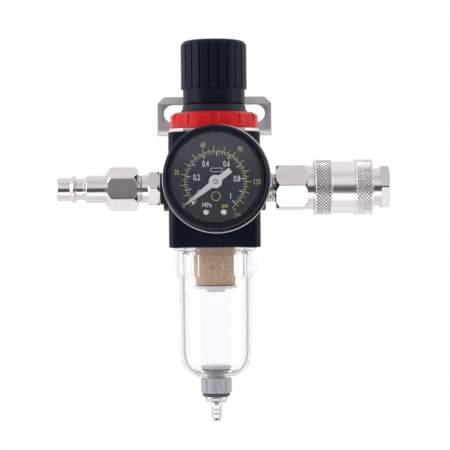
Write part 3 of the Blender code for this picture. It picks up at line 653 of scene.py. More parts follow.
# =============================================================================
# Body casting
# =============================================================================
side_boss = rounded([(0, -22.6), (10.0, -22.6, 0.5), (10.0, 22.6, 0.5), (0, 22.6)], False)
face_boss = rounded([(0, -22.0), (9.0, -22.0, 0.4), (9.0, -15.0), (0, -15.0)], False)
rear_boss = rounded([(0, 15.0), (9.0, 15.0), (9.0, 21.6, 0.4), (0, 21.6)], False)
bore = [(0, 26.0), (16.6, 26.0), (16.6, 14.7), (12.5, 14.7), (12.5, 11.0), (9.5, 11.0), (9.5, -1.0),
        (3.6, -1.0), (3.6, -4.5), (7.5, -4.5), (7.5, -20.0), (10.5, -20.0), (10.5, -15.5), (15.8, -15.5),
        (15.8, -28.0), (0, -28.0)]
port = ASM @ at(1.1, 0, 3.4) @ rot(-90, "X")
body_mesh = combined(stacked(40, 40, 3.6, -26.0, 24.2, 0.45, 10), [
    (turned(side_boss, 96, False), ASM @ rot(90, "Y"), "UNION"),
    (turned(face_boss, 72, False), port, "UNION"),
    (turned(rear_boss, 72, False), REAR, "UNION"),
    (turned(bore, 96, False), ASM, "DIFFERENCE"),
    (rod(5.6, 12.7, 24.0, 48), INLET, "DIFFERENCE"),
    (rod(5.6, 10.4, 24.0, 48), OUTLET, "DIFFERENCE"),
    (rod(3.4, 7.0, 11.4, 24), OUTLET @ at(-3.2, 0, 0), "DIFFERENCE"),
    (rod(2.4, -16.6, -3.5, 20), ASM @ at(-14.4, 0, 0), "DIFFERENCE"),
    (rod(5.1, -23.0, -8.6, 40), port, "DIFFERENCE"),
    (rod(5.1, 8.6, 23.0, 40), REAR, "DIFFERENCE"),
])
piece("body_casting", body_mesh, "cast", xf=STILL, stands_for=["regulator_body"], smooth=32)

# =============================================================================
# Bracket: a flat blank with its slots and hole, folded up behind
# =============================================================================
FOLD_Y, FOLD_R, T = 27.0, 3.0, 1.5
arc_length = (FOLD_R - T / 2) * PI / 2
top_v = FOLD_Y + arc_length + 42.5 - 27.5


def up_v(z):
    return FOLD_Y + arc_length + z - 27.5


half = [(13.5, -19.6), (19.6, -13.0), (19.6, 12.0), (26.2, 19.5), (26.2, up_v(39.5)), (23.1, up_v(42.5))]


def eased(points, r=0.8, steps=4):
    return [(x, y) for x, y in rounded([(x, y, r) for x, y in points], True, steps)]


blank = eased(half + [(-x, y) for x, y in reversed(half)])
hole = [(15.15 * math.cos(2 * PI * k / 128), 15.15 * math.sin(2 * PI * k / 128)) for k in range(128)]
slots = []
for sign in (-1, 1):
    mid = sign * (9.0 + 23.2) / 2
    slots.append([(mid + x, up_v(34.8) + y) for x, y in outline(14.2, 8.0, 3.99, 14)])
blank_bm = flat_part([blank, hole[::-1]] + [s[::-1] for s in slots], 0.0, T, 0.14)
for k in range(13):
    v = FOLD_Y + arc_length * k / 12
    geom = list(blank_bm.verts) + list(blank_bm.edges) + list(blank_bm.faces)
    bmesh.ops.bisect_plane(blank_bm, geom=geom, dist=1e-8, plane_co=(0, v * MM, 0), plane_no=(0, 1, 0))
for vert in blank_bm.verts:
    x, v, w = vert.co / MM
    if v <= FOLD_Y:
        vert.co = Vector((x, v, 24.5 + w)) * MM
    elif v < FOLD_Y + arc_length:
        phi = (v - FOLD_Y) / (FOLD_R - T / 2)
        vert.co = Vector((x, FOLD_Y + (FOLD_R - w) * math.sin(phi), 27.5 - (FOLD_R - w) * math.cos(phi))) * MM
    else:
        vert.co = Vector((x, 30.0 - w, 27.5 + v - FOLD_Y - arc_length)) * MM
piece("bracket_sheet", blank_bm, "zinc", stands_for=["mounting_bracket"], smooth=28)


# =============================================================================
# Lock ring, bonnet and knob
# =============================================================================
def smooth_step(x, a, b):
    t = max(0.0, min(1.0, (x - a) / (b - a)))
    return t * t * (3 - 2 * t)


def ring_shape(a, r, z):
    step = PI / 6
    d = math.degrees(abs((a + PI / 2 + step / 2) % step - step / 2))
    inside = 1 - smooth_step(d, 5.0, 6.9)
    if r < 16.0 or z < 29.7:
        return r
    deep = 0.9 * inside * smooth_step(z, 29.8, 30.15)
    return min(r, 19.45 - deep)


ring = rounded([(15.1, 26.3, 0.25), (19.45, 26.3, 0.4), (19.45, 32.0, 0.35), (17.5, 33.4, 0.35),
                (15.1, 33.4, 0.25)])
piece("lock_ring_nut", turned(dense(ring, 0.18, 29.4, 33.4), 432, True, ring_shape), "red",
      stands_for=["lock_ring"], smooth=38)

bonnet_thread = thread(26.5, 33.3, 1.5, 0.45)
flat_bore = lambda a, r: min(r, 9.2 / max(1e-6, abs(math.cos(a))))


def bonnet_shape(a, r, z):
    if abs(r - 10.2) < 1e-4:
        return flat_bore(a, r)
    if r > 14.6 and 24.0 < z < 33.9:
        return bonnet_thread(a, r, z)
    return r


bonnet = rounded([(16.2, 16.9, 0.2), (16.2, 24.0), (14.8, 24.0), (14.8, 33.9, 0.3), (14.1, 34.9, 0.4),
                  (13.8, 36.9, 0.4), (11.6, 36.9), (11.6, 50.0, 0.4), (3.4, 50.0), (3.4, 47.0),
                  (10.2, 47.0), (10.2, 33.0), (12.4, 31.0), (12.4, 16.9)])
piece("spring_bonnet", turned(dense(bonnet, 0.2, 24.0, 34.0), 192, True, bonnet_shape), "black_plastic",
      stands_for=["bonnet"])


def knob_shape(a, r, z):
    """22 broad pads with narrow grooves between; the grooves run out into the shoulder."""
    if r < 13.0 or z < 43.85 or z > 64.9:
        return r
    step = 2 * PI / 22
    d = math.degrees(abs((a + PI / 2 + step / 2) % step - step / 2))
    groove = smooth_step(d, 6.7, 7.8)
    fade = 1 - smooth_step(z, 63.0, 64.6)
    return r - 0.55 * groove * fade * smooth_step(z, 43.85, 44.1)


def knob_bore(a, r, z):
    if abs(r - 7.35) < 1e-4 and z > 50.9:
        return r
    return r


knob_out = rounded([(0, 65.6), (11.6, 65.5, 2.0), (13.4, 65.0, 1.2), (14.6, 63.5, 1.6), (14.6, 43.9, 0.3),
                    (13.7, 43.85), (13.7, 37.3, 0.5), (12.0, 37.3, 0.3), (12.0, 62.8), (7.4, 62.8),
                    (7.4, 50.9), (4.85, 50.9), (4.85, 62.8), (0, 62.8)], False, 5)


def knob_all(a, r, z):
    if abs(r - 4.85) < 1e-4:
        b = a % (PI / 3) - PI / 6
        return 4.8 / math.cos(b)
    return knob_shape(a, r, z)


piece("knob_cap", turned(dense(knob_out, 0.45, 43.8, 65.6, False), 528, False, knob_all), "knob", "knob",
      stands_for=["adjusting_knob"], smooth=42)

for name, node, args, joint, axis, anchor, keep, xf in (
        ("main_spring", "regulating_spring", (7.9, 1.0, 19.2, 41.4, 6), "seat_travel", (0, 0, 1),
         (0, -0.030, -0.0345 + 0.0192), 0.662, ASM),
        ("return_spring", "valve_return_spring", (3.4, 0.3, -17.1, -8.5, 5), "valve_travel", (0, 0, 1),
         (0, -0.030, -0.0345 - 0.0171), 0.86, ASM),
        ("sleeve_return", "sleeve_spring", (9.05, 0.45, 50.6, 59.0, 4.5), "sleeve_slide", (1, 0, 0),
         (0.0506, -0.030, -0.0345), 0.667, OUTLET),
        ("check_spring", "coupler_valve_spring", (4.3, 0.45, 38.3, 51.9, 5), "valve_push", (1, 0, 0),
         (0.0383, -0.030, -0.0345), 0.706, OUTLET)):
    wire = piece(name, coil(*args), "steel", xf=xf, stands_for=[node], smooth=60)
    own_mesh(wire)

# Diaphragm: the clamped rim and roll stay with the body, the middle moves with the valve.
rim = rounded([(12.3, 16.5, 0.2), (16.2, 16.5), (16.2, 15.0), (12.1, 15.0, 0.2), (11.9, 13.7, 0.3),
               (10.8, 13.7, 0.3), (10.55, 15.0), (10.9, 15.1, 0.2), (11.7, 15.1, 0.3)])
piece("diaphragm_rim", turned(rim, 96), "rubber", stands_for=["diaphragm"])
piece("diaphragm_middle", turned(rounded([(3.2, 15.0), (10.3, 15.0, 0.2), (10.3, 16.4, 0.2), (3.2, 16.4)]), 96),
      "rubber", "valve_train")

# =============================================================================
# Filter, bowl and drain
# =============================================================================


def grainy(a, r, z):
    if 5.6 < r:
        return r + 0.05 * noise.noise(Vector((math.cos(a) * 26, math.sin(a) * 26, z * 3.0)))
    return r


element = dense(rounded([(5.5, -42.8, 0.2), (8.9, -42.8, 0.3), (8.9, -20.3, 0.3), (5.5, -20.3, 0.2)]),
                0.3, -43, -20)
piece("filter_tube", turned(element, 220, True, grainy), "sinter", stands_for=["filter_element"], smooth=60)
piece("baffle_disc", turned(rounded([(0, -46.0), (4.4, -46.0, 0.3), (4.5, -44.4), (10.0, -44.4, 0.3),
                                     (10.0, -43.1, 0.3), (1.8, -43.1), (1.8, -22.0, 0.3), (0, -22.0)],
                                    False), 144, False), "natural", stands_for=["baffle"])
o_ring = [(14.75 + 0.75 * math.cos(2 * PI * k / 16), -18.4 + 0.75 * math.sin(2 * PI * k / 16)) for k in range(16)]
piece("bowl_seal_ring", turned(o_ring, 96), "rubber", stands_for=["bowl_o_ring"], smooth=60)

bowl_profile = rounded([
    (15.3, -16.2, 0.2), (15.3, -17.2), (13.8, -17.2), (13.8, -19.6), (15.3, -19.6), (15.3, -26.3),
    (18.5, -26.3, 0.25), (18.5, -27.4, 0.3), (16.75, -27.75, 0.3), (16.75, -39.3, 0.5), (15.9, -40.1, 0.5),
    (15.84, -50.0, 0.1), (15.66, -50.4, 0.1), (15.6, -73.0, 4.0), (15.15, -77.0, 2.5), (13.6, -80.3, 2.5), (10.9, -82.4, 1.5), (8.8, -83.0, 0.5),
    (8.8, -83.5, 0.2), (4.0, -83.5), (4.0, -81.6), (7.8, -81.6, 0.6), (11.0, -80.0, 2.0), (12.9, -77.3, 2.5),
    (13.62, -73.0, 4.0), (13.85, -29.0, 0.5), (12.9, -27.5, 0.3), (12.9, -16.2)], True, 5)
lugs = []
for k in range(8):
    lug = stacked(6.5, 3.7, 0.5, -38.8, -29.2, 0.35, 3)
    lug.transform(rot(-85.4 + 45 * k, "Z") @ at(15.2, 0, 0))
    lugs.append((lug, ASM, "UNION"))
all_lugs = merged([bm for bm, _, _ in lugs])
piece("bowl_clear", combined(turned(bowl_profile, 168), [(all_lugs, ASM, "UNION")]), "bowl", xf=STILL,
      stands_for=["bowl"], smooth=38)

piece("drain_gasket", turned(rounded([(4.0, -81.3), (6.3, -81.3, 0.2), (6.3, -80.4, 0.2), (4.0, -80.4)]), 72),
      "soft_seal", stands_for=["drain_seal"])
piece("drain_valve", turned(rounded([(1.2, -78.8, 0.2), (1.2, -82.0), (2.6, -82.0), (2.6, -90.0), (3.7, -90.0, 0.2),
                                     (3.7, -80.1), (6.7, -80.1, 0.2), (6.7, -78.8, 0.3)]), 96), "grey_plastic",
      stands_for=["drain_valve_body"])


def fluted(a, r, z):
    if r < 5.0:
        return r
    dip = (0.5 - 0.5 * math.cos(10 * a)) ** 1.5
    fade = smooth_step(z, -90.85, -90.2) * (1 - smooth_step(z, -84.8, -84.1))
    return r - (0.2 + 0.62 * fade) * dip


grip = rounded([(4.0, -84.1), (6.5, -84.1, 0.2), (6.85, -84.7, 0.3), (6.85, -90.3, 0.4), (6.45, -90.8, 0.2),
                (2.6, -90.8), (2.6, -90.3), (4.0, -90.3)])
piece("drain_grip_knob", turned(dense(grip, 0.3, -90.8, -84.1), 240, True, fluted), "grey_plastic", "drain_grip",
      stands_for=["drain_knob"], smooth=40)
piece("drain_collar", turned(rounded([(2.6, -92.2), (6.1, -92.2, 0.25), (6.1, -91.1, 0.25), (2.6, -91.1)]), 120),
      "dark_ring", "drain_tail", stands_for=["drain_ring"])
barb = [(0, -82.4), (2.2, -82.4, 0.2), (2.2, -92.5), (5.1, -92.5, 0.2), (5.15, -93.1, 0.4), (4.5, -94.1, 0.4),
        (4.45, -95.0, 0.2), (2.0, -95.0, 0.15)]
for k in range(3):
    top = -96.4 - 2.0 * k
    barb += [(2.45, top, 0.08), (2.0, top - 1.5, 0.1)]
barb += [(1.9, -103.0, 0.1), (1.7, -103.4, 0.1), (1.2, -103.4), (1.2, -83.8), (0, -83.8)]
tail = combined(turned(rounded(barb, False), 120, False),
                [(rod(0.7, -4, 4, 24), ASM @ at(0, 0, -85.2) @ rot(90, "X"), "DIFFERENCE")])
piece("drain_hose_tail", tail, "barb", "drain_tail", xf=STILL, stands_for=["drain_barb"])

# =============================================================================
# Pressure gauge
# =============================================================================
socket_points = [(0, 31.0), (1.2, 31.0), (1.2, 12.0), (4.5, 12.0, 0.2), (4.8, 12.6), (4.8, 22.3)]
socket_points += [(p[0], p[1]) for p in hex_rows(14.0, 22.3, 26.6, 6.7)]
socket_points += [(4.3, 26.6), (4.3, 28.0), (5.6, 28.0), (5.6, 33.2, 0.2), (0, 33.2)]


def socket_shape(a, r, z):
    if r > 13:
        return hexed(14.0, 30, 22.3, 26.6, 6.7)(a, r, z)
    if abs(r - 4.8) < 0.01 and 12.6 < z < 22.3:
        return thread(12.7, 21.8, 0.9, 0.45)(a, r, z)
    return r


piece("gauge_stem", turned(dense(rounded(socket_points, False), 0.12, 12.6, 22.3, False), 108, False, socket_shape),
      "brass", xf=GAUGE, stands_for=["gauge_socket"], smooth=24)
case = rounded([(4.7, 26.9), (20.6, 26.9, 1.4), (22.9, 28.9, 1.6), (22.9, 45.4, 0.25), (22.2, 45.4), (22.2, 29.0, 1.3),
                (21.0, 27.7, 0.6), (4.7, 27.7)], True, 8)
piece("gauge_shell", turned(case, 256), "chrome", xf=GAUGE, stands_for=["gauge_case"], smooth=34)
bezel = rounded([(20.9, 40.0), (21.4, 40.0), (21.4, 45.7), (22.15, 45.75, 0.2), (22.15, 48.2, 0.9), (21.0, 49.6, 0.8),
                 (19.9, 49.35, 0.5), (19.1, 48.3, 0.35), (19.1, 47.6, 0.1), (20.9, 47.6)], True, 6)
piece("gauge_rim", turned(bezel, 256), "bezel", xf=FACE, stands_for=["gauge_bezel"], smooth=40)

LENS_DOME = 1.8
dome = []
for k in range(13):
    r = 19.0 * k / 12
    dome.append((r, 46.5 + LENS_DOME * (1 - (r / 19.0) ** 2)))
under = [(r, z - 0.9) for r, z in reversed(dome)]
lens = dome + [(20.4, 46.45), (20.4, 45.9), (19.3, 45.7)] + under
piece("gauge_glass", turned(lens, 160, False), "lens", xf=FACE, stands_for=["gauge_lens"], smooth=50)

disc = [(20.4 * math.cos(2 * PI * k / 180), 20.4 * math.sin(2 * PI * k / 180)) for k in range(180)]


def circle(x, y, r, n=32):
    return [(x + r * math.cos(-2 * PI * k / n), y + r * math.sin(-2 * PI * k / n)) for k in range(n)]


def hand(theta, r):
    """Point at radius r from the hub, theta degrees clockwise from straight down."""
    a = math.radians(theta)
    return (-r * math.sin(a), -r * math.cos(a))


# the dial is drawn about its own centre; the hub sits off that centre
OX, OY = HUB[0] + 0.35, HUB[1] - 0.6
pin = hand(46.5, 12.9)
screws = ((-4.1, -13.05), (3.5, -13.05))
holes = [circle(OX, OY, 1.4)] + [circle(OX + x, OY + y, 1.1) for x, y in screws]
holes.append(circle(OX + pin[0], OY + pin[1], 1.0))
piece("dial_plate", flat_part([disc] + holes, 42.6, 43.4, 0.03), "dial", xf=FACE, stands_for=["gauge_dial"])

Z0, Z1 = 43.39, 43.46
white, yellow = [], []


def bar(theta, r0, r1, width):
    a = math.radians(theta)
    ux, uy = -math.sin(a), -math.cos(a)
    vx, vy = -uy, ux
    h = width / 2
    points = [(r0, -h), (r1, -h), (r1, h), (r0, h)]
    return flat_part([[(u * ux + v * vx, u * uy + v * vy) for u, v in points]], Z0, Z1)


def sweep(r0, r1, t0, t1, steps=180):
    a = [math.radians(t0 + (t1 - t0) * k / steps) for k in range(steps + 1)]
    inner = [(-r0 * math.sin(t), -r0 * math.cos(t)) for t in a]
    outer = [(-r1 * math.sin(t), -r1 * math.cos(t)) for t in reversed(a)]
    return flat_part([inner + outer], Z0, Z1)


START, MPA, PSI = 46.6, 272.1, 1.867
for k in range(51):
    theta = START + MPA * k / 50
    long_mark = k % 5 == 0
    white.append(bar(theta, 10.7 if long_mark else 11.6, 12.62, 0.34 if long_mark else 0.2))
for k in range(31):
    theta = START + PSI * 5 * k
    yellow.append(bar(theta, 12.95, 14.9 if k % 2 == 0 else 14.1, 0.26 if k % 2 == 0 else 0.16))
yellow.append(sweep(12.78, 12.98, START, START + PSI * 150))
WHITE_AT = (("0", -7.1, -4.75), ("0.2", -7.9, 1.7), ("0.4", -4.1, 7.35), ("0.6", 4.7, 7.3), ("0.8", 9.0, 1.05),
            ("1", 6.3, -6.2))
YELLOW_AT = (("0", -13.3, -10.0), ("30", -16.3, 3.85), ("60", -5.1, 15.3), ("90", 10.4, 13.4), ("120", 17.3, -0.35),
             ("150", 9.1, -14.5))
for label, x, y in WHITE_AT:
    white.append(letters(label, 2.5, x, y, Z0, Z1, 0.66, 0.04))
for label, x, y in YELLOW_AT:
    yellow.append(letters(label, 2.2, x, y, Z0, Z1, 0.68, 0.02))
white.append(letters("MPa", 1.8, -3.7, -9.86, Z0, Z1, 0.95, 0.03))
yellow.append(letters("psi", 1.8, 3.85, -10.1, Z0, Z1, 0.95, 0.03))
# two plain marks fill the blank middle of the dial
mark = [(0.1 + 1.95 * math.cos(2 * PI * k / 48), -6.15 + 1.95 * math.sin(2 * PI * k / 48)) for k in range(48)]
yellow.append(flat_part([mark, circle(0.1, -6.15, 1.72, 48)], Z0, Z1))
frame_out = [(0.5 + x, 4.9 + y) for x, y in outline(5.2, 1.7, 0.5, 5)]
frame_in = [(0.5 + x, 4.9 + y) for x, y in outline(4.8, 1.3, 0.35, 5)]
white.append(flat_part([frame_out, frame_in[::-1]], Z0, Z1))
piece("dial_print_white", merged(white), "white_ink", xf=AXIS)
piece("dial_print_yellow", merged(yellow), "yellow_ink", xf=AXIS)

piece("dial_stop_pin", turned(rounded([(0, 42.2), (0.7, 42.2), (0.7, 44.9, 0.2), (0, 44.9)], False), 40, False),
      "plated", xf=AXIS @ at(pin[0], pin[1], 0), stands_for=["stop_pin"])
for label, (x, y) in zip(("left", "right"), screws):
    head = turned(rounded([(0, 39.2), (0.8, 39.2), (0.8, 43.7), (1.5, 43.7, 0.15), (1.45, 44.1, 0.4), (0.9, 44.5, 0.3),
                           (0, 44.5)], False, 5), 64, False)
    arm, gap = 0.9, 0.16
    cross = [(arm, gap), (gap, gap), (gap, arm), (-gap, arm), (-gap, gap), (-arm, gap), (-arm, -gap), (-gap, -gap),
             (-gap, -arm), (gap, -arm), (gap, -gap), (arm, -gap)]
    slot_cut = loft([[(u, v, 43.8) for u, v in cross], [(u, v, 45.0) for u, v in cross]])
    where = AXIS @ at(x, y, 0)
    piece("face_screw_" + label, combined(head, [(slot_cut, where @ rot(20 if label == "left" else 48, "Z"),
                                                  "DIFFERENCE")], where), "screw", xf=STILL,
          stands_for=["dial_screw_" + label])

needle = [(-0.18, -16.0), (0.18, -16.0), (0.55, -13.0), (0.95, -8.5), (1.2, -2.75)]
for k in range(1, 16):
    a = math.radians(-66 + k * 131 / 16)
    needle.append((2.8 * math.cos(a), 2.8 * math.sin(a)))
needle += [(1.2, 2.6), (1.2, 7.6), (0.85, 8.0), (-0.85, 8.0), (-1.2, 7.6), (-1.2, 2.6)]
for k in range(1, 16):
    a = math.radians(115 + k * 131 / 16)
    needle.append((2.8 * math.cos(a), 2.8 * math.sin(a)))
needle += [(-1.2, -2.75), (-0.95, -8.5), (-0.55, -13.0)]
piece("needle", flat_part([needle, circle(0, 0, 1.0, 40)], 44.0, 44.6, 0.07), "pointer", "pointer",
      xf=AXIS @ rot(-52.8, "Z"), stands_for=["gauge_pointer"])

# =============================================================================
# Rear port plug
# =============================================================================


def plug_shape(a, r, z):
    if abs(r - 2.49) < 1e-3:
        return 2.5 / math.cos(a % (PI / 3) - PI / 6)
    if abs(r - 4.8) < 0.01 and 13.2 < z < 21.4:
        return thread(13.3, 21.2, 0.9, 0.4)(a, r, z)
    return r


piece("rear_plug_screw", turned(dense(rounded([(0, 12.6), (4.4, 12.6), (4.8, 13.2), (4.8, 21.4), (4.5, 21.8, 0.15),
                                               (2.49, 21.8), (2.49, 17.0), (0, 17.0)], False), 0.12, 13.2, 21.4, False),
                                108, False, plug_shape), "nickel_y", xf=REAR, stands_for=["rear_port_plug"], smooth=28)

# =============================================================================
# Inlet
# =============================================================================
piece("inlet_washer", turned(rounded([(6.0, 22.9), (7.1, 22.9, 0.2), (7.1, 24.1, 0.2), (6.0, 24.1)]), 96), "rubber",
      xf=INLET, stands_for=["inlet_seal"])

points = [(3.4, 13.4), (4.9, 13.4), (5.3, 14.0), (5.3, 24.4)]
points += hex_rows(14.7, 24.4, 29.3, 7.3)
points += [(6.15, 29.4, 0.1), (6.15, 32.0, 0.15), (5.75, 32.1), (6.2, 32.35), (6.2, 34.1), (5.75, 35.2), (5.75, 41.0),
           (3.4, 41.0)]


def adapter_shape(a, r, z):
    if r > 14:
        return hexed(14.7, 30, 24.4, 29.3, 7.7)(a, r, z)
    if abs(r - 6.2) < 0.011 and 32.3 < z < 34.15:
        return thread(32.2, 34.4, 0.85, 0.42)(a, r, z)
    if abs(r - 5.3) < 0.01 and 14.0 < z < 24.0:
        return thread(14.1, 23.6, 0.9, 0.45)(a, r, z)
    return r


piece("inlet_union", turned(dense(dense(rounded(points), 0.1, 32.3, 34.12), 0.12, 14.0, 24.4), 180, True,
                            adapter_shape), "nickel_x", xf=INLET, stands_for=["inlet_adapter"], smooth=24)

points = [(6.5, 34.1)] + hex_rows(17.0, 34.1, 47.0, 8.55)
points += [(7.4, 47.2, 0.1), (7.4, 47.9, 0.2), (6.05, 48.0, 0.15), (6.05, 56.5, 0.5), (4.65, 57.9, 0.5),
           (4.65, 61.2, 0.4), (6.1, 62.0, 0.25), (6.1, 62.6, 0.25), (5.1, 63.9, 0.3), (5.1, 69.2, 0.25),
           (4.8, 69.8, 0.15), (3.4, 69.8, 0.1), (3.4, 42.0), (6.5, 42.0)]


def plug_hex(a, r, z):
    return hexed(17.0, 0, 34.1, 47.0, 8.75)(a, r, z) if r > 14 else r


piece("inlet_quick_plug", turned(rounded(points), 180, True, plug_hex), "nickel_x", xf=INLET @ rot(2, "Z"),
      stands_for=["inlet_plug"], smooth=24)

# =============================================================================
# Outlet
# =============================================================================
points = [(3.4, 13.4), (4.9, 13.4), (5.3, 14.0), (5.3, 22.8), (6.5, 22.95), (6.5, 27.1), (6.0, 27.2), (6.0, 35.0),
          (3.4, 35.0)]


def nipple_shape(a, r, z):
    if abs(r - 6.5) < 0.01:
        return thread(22.95, 27.3, 1.05, 0.55)(a, r, z)
    if abs(r - 5.3) < 0.01 and 14.0 < z < 22.5:
        return thread(14.1, 22.4, 0.9, 0.45)(a, r, z)
    return r


piece("outlet_thread", turned(dense(rounded(points), 0.1, 14.0, 27.1), 144, True, nipple_shape), "nickel_x",
      xf=OUTLET, stands_for=["outlet_nipple"], smooth=30)

points = [(6.8, 27.2)] + hex_rows(19.0, 27.2, 40.9, 9.55)
points += [(9.55, 41.0), (9.55, 50.0, 0.2), (7.3, 50.0), (7.3, 44.7), (6.2, 44.7), (6.2, 38.0), (3.8, 38.0),
           (3.8, 35.5), (6.8, 35.5)]


def body_hex(a, r, z):
    return hexed(19.0, 30, 27.2, 40.9, 9.85)(a, r, z) if r > 14 else r


piece("coupler_hex_body", turned(rounded(points), 180, True, body_hex), "nickel_x", xf=OUTLET @ rot(-5.3, "Z"),
      stands_for=["coupler_body"], smooth=24)

tube_points = [(7.0, 45.0), (7.0, 50.3), (8.25, 50.3), (8.25, 67.9), (7.6, 67.9), (7.6, 69.5), (8.25, 69.5, 0.1),
               (8.25, 73.39), (6.4, 73.39), (6.4, 57.2), (7.0, 57.2), (7.0, 54.0), (6.2, 54.0), (6.2, 45.0)]
points = [(6.4, 73.4), (18.3, 73.4)] + [(18.3, 73.4 + 0.12 * k) for k in range(1, 7)]
points += [(18.3, 75.2 + 0.13 * k) for k in range(0, 15)]
points += [(8.55, 77.2), (7.2, 77.2, 0.2), (6.4, 76.2)]


def end_hex(a, r, z):
    if r > 14:
        b = (a - math.radians(30)) % (PI / 3) - PI / 6
        corner = 18.3 / 2 / math.cos(PI / 6) - 0.2
        return min(18.3 / 2 / math.cos(b), corner, 10.0 + 1.6 * max(0.0, z - 73.4), 9.3 + max(0.0, 77.2 - z) * 1.5)
    return r


barrel_tools = []
for turn_x in (0, 90):
    barrel_tools.append((rod(1.6, -12, 12, 24), OUTLET @ at(0, 0, 63.0) @ rot(turn_x, "Z") @ rot(90, "X"),
                         "DIFFERENCE"))
end_collar = turned(rounded(points), 180, True, end_hex)
end_collar.transform(OUTLET)
tube = combined(turned(rounded(tube_points), 96), barrel_tools, OUTLET)
piece("coupler_tube", merged([tube, end_collar]), "nickel_x", xf=STILL, stands_for=["coupler_barrel"], smooth=24)


def knurl(radius, z0, z1, count=44, depth=0.5):
    """Diamond knurl: two families of helical grooves at 30 degrees either way."""
    pitch = 2 * PI * radius / count

    def shape(a, r, z):
        if abs(r - radius) > 0.02 or z < z0 or z > z1:
            return r
        u = a * radius
        v = z * 1.1
        p = abs(((u + v) / pitch) % 1.0 - 0.5) * 2
        q = abs(((u - v) / pitch) % 1.0 - 0.5) * 2
        height = min(1.0, min(p, q) * 2.0)
        fade = min(1.0, (z - z0) / 0.35, (z1 - z) / 0.35)
        return r - depth * (1 - height) * max(0.0, fade)
    return shape


sleeve = rounded([(12.15, 44.0, 0.3), (12.15, 51.8, 0.25), (11.4, 51.9, 0.05), (11.4, 61.9, 0.05),
                  (12.25, 62.0, 0.25), (12.25, 69.8, 0.3), (9.6, 69.8, 0.2), (9.6, 67.9), (8.55, 67.9), (8.55, 67.2),
                  (9.6, 67.1), (9.6, 66.6), (8.55, 63.9), (8.55, 59.3), (9.9, 59.3), (9.9, 44.0)])
outer = []
for k, p in enumerate(sleeve):
    outer.append(p)
    q = sleeve[(k + 1) % len(sleeve)]
    if p[0] > 12.1 and q[0] > 12.1 and q[1] - p[1] > 3:
        steps = int((q[1] - p[1]) / 0.2)
        outer += [(p[0] + (q[0] - p[0]) * j / steps, p[1] + (q[1] - p[1]) * j / steps) for j in range(1, steps)]
sleeve_shape = both(knurl(12.15, 44.55, 51.35), knurl(12.25, 62.5, 69.3))
piece("coupler_grip", turned(outer, 648, True, sleeve_shape), "nickel_knurl", "sleeve", OUTLET,
      stands_for=["coupler_sleeve"], smooth=26)
piece("stop_ring", turned(rounded([(7.9, 68.2), (9.2, 68.2, 0.3), (9.2, 69.2, 0.3), (7.9, 69.2)]), 96), "steel",
      xf=OUTLET, stands_for=["retaining_ring"])
piece("socket_seal", turned(rounded([(4.9, 54.4), (6.7, 54.4), (6.7, 56.9), (5.3, 56.9, 0.2), (4.9, 56.4, 0.2)]), 80),
      "rubber", xf=OUTLET, stands_for=["coupler_seal"])
piece("check_poppet", turned(rounded([(0, 46.0), (2.2, 46.0, 0.2), (2.6, 46.5), (2.6, 52.2), (5.8, 52.2, 0.2),
                                      (5.8, 53.4, 0.2), (4.4, 54.0, 0.3), (0, 54.0)], False), 80, False), "brass",
      "check_valve", OUTLET, stands_for=["coupler_valve"])
for number, (body, y, z) in enumerate((("ball_front", -1, 0), ("ball_low", 0, -1), ("ball_rear", 1, 0),
                                       ("ball_high", 0, 1)), start=1):
    arc = [(1.3 * math.sin(PI * k / 24), -1.3 * math.cos(PI * k / 24)) for k in range(25)]
    arc[0], arc[-1] = (0, -1.3), (0, 1.3)
    piece("lock_ball_%d" % number, turned(arc, 48, False), "ball", body, ASM @ at(63.0, y * 7.0, z * 7.0),
          ["locking_ball_%d" % number], 60)

# =============================================================================
# CAD nodes that stay as they are
# =============================================================================
KEEP = {
    "adjusting_screw": "steel", "adjusting_nut": "brass_z", "diaphragm_plate": "brass_z", "relief_seat": "brass_z",
    "valve_stem": "brass_z", "valve_poppet": "rubber", "valve_guide": "natural", "swirl_deflector": "natural",
    "pinion_arbor": "plated", "sector_gear": "brass", "gauge_link": "brass", "movement_rear_plate": "brass",
    "movement_front_plate": "brass", "bourdon_tube": "brass",
}
for name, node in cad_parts.items():
    look = M[KEEP.get(name, "steel")]
    if not node.data.materials:
        node.data.materials.append(look)
    for i in range(len(node.data.materials)):
        node.data.materials[i] = look

# =============================================================================
# Floor, light and camera: the object hangs above a plain pale floor
# =============================================================================
floor_bm = bmesh.new()
corners = [floor_bm.verts.new(c) for c in ((-2.5, -2.5, -0.70), (2.5, -2.5, -0.70), (2.5, 2.5, -0.70), (-2.5, 2.5, -0.70))]
floor_bm.faces.new(corners)
floor_mesh = bpy.data.meshes.new("floor")
floor_bm.to_mesh(floor_mesh)
floor_bm.free()
floor = bpy.data.objects.new("floor", floor_mesh)
bpy.context.collection.objects.link(floor)
f = Nodes("look_floor")
f.shader.inputs["Base Color"].default_value = (0.9, 0.9, 0.9, 1)
f.shader.inputs["Roughness"].default_value = 0.9
glow = f.add("ShaderNodeEmission")
glow.inputs["Color"].default_value = (1, 1, 1, 1)
glow.inputs["Strength"].default_value = 1.06
share = f.add("ShaderNodeMixShader")
share.inputs[0].default_value = 0.04
f.link(glow.outputs[0], share.inputs[1])
f.link(f.shader.outputs[0], share.inputs[2])
f.link(share.outputs[0], f.out.inputs["Surface"])
floor_mesh.materials.append(f.mat)
floor.visible_glossy = False

world = bpy.data.worlds.new("studio")
bpy.context.scene.world = world
world.use_nodes = True
w = world.node_tree
w.nodes.clear()


def wn(kind, **values):
    node = w.nodes.new(kind)
    for key, value in values.items():
        setattr(node, key, value)
    return node


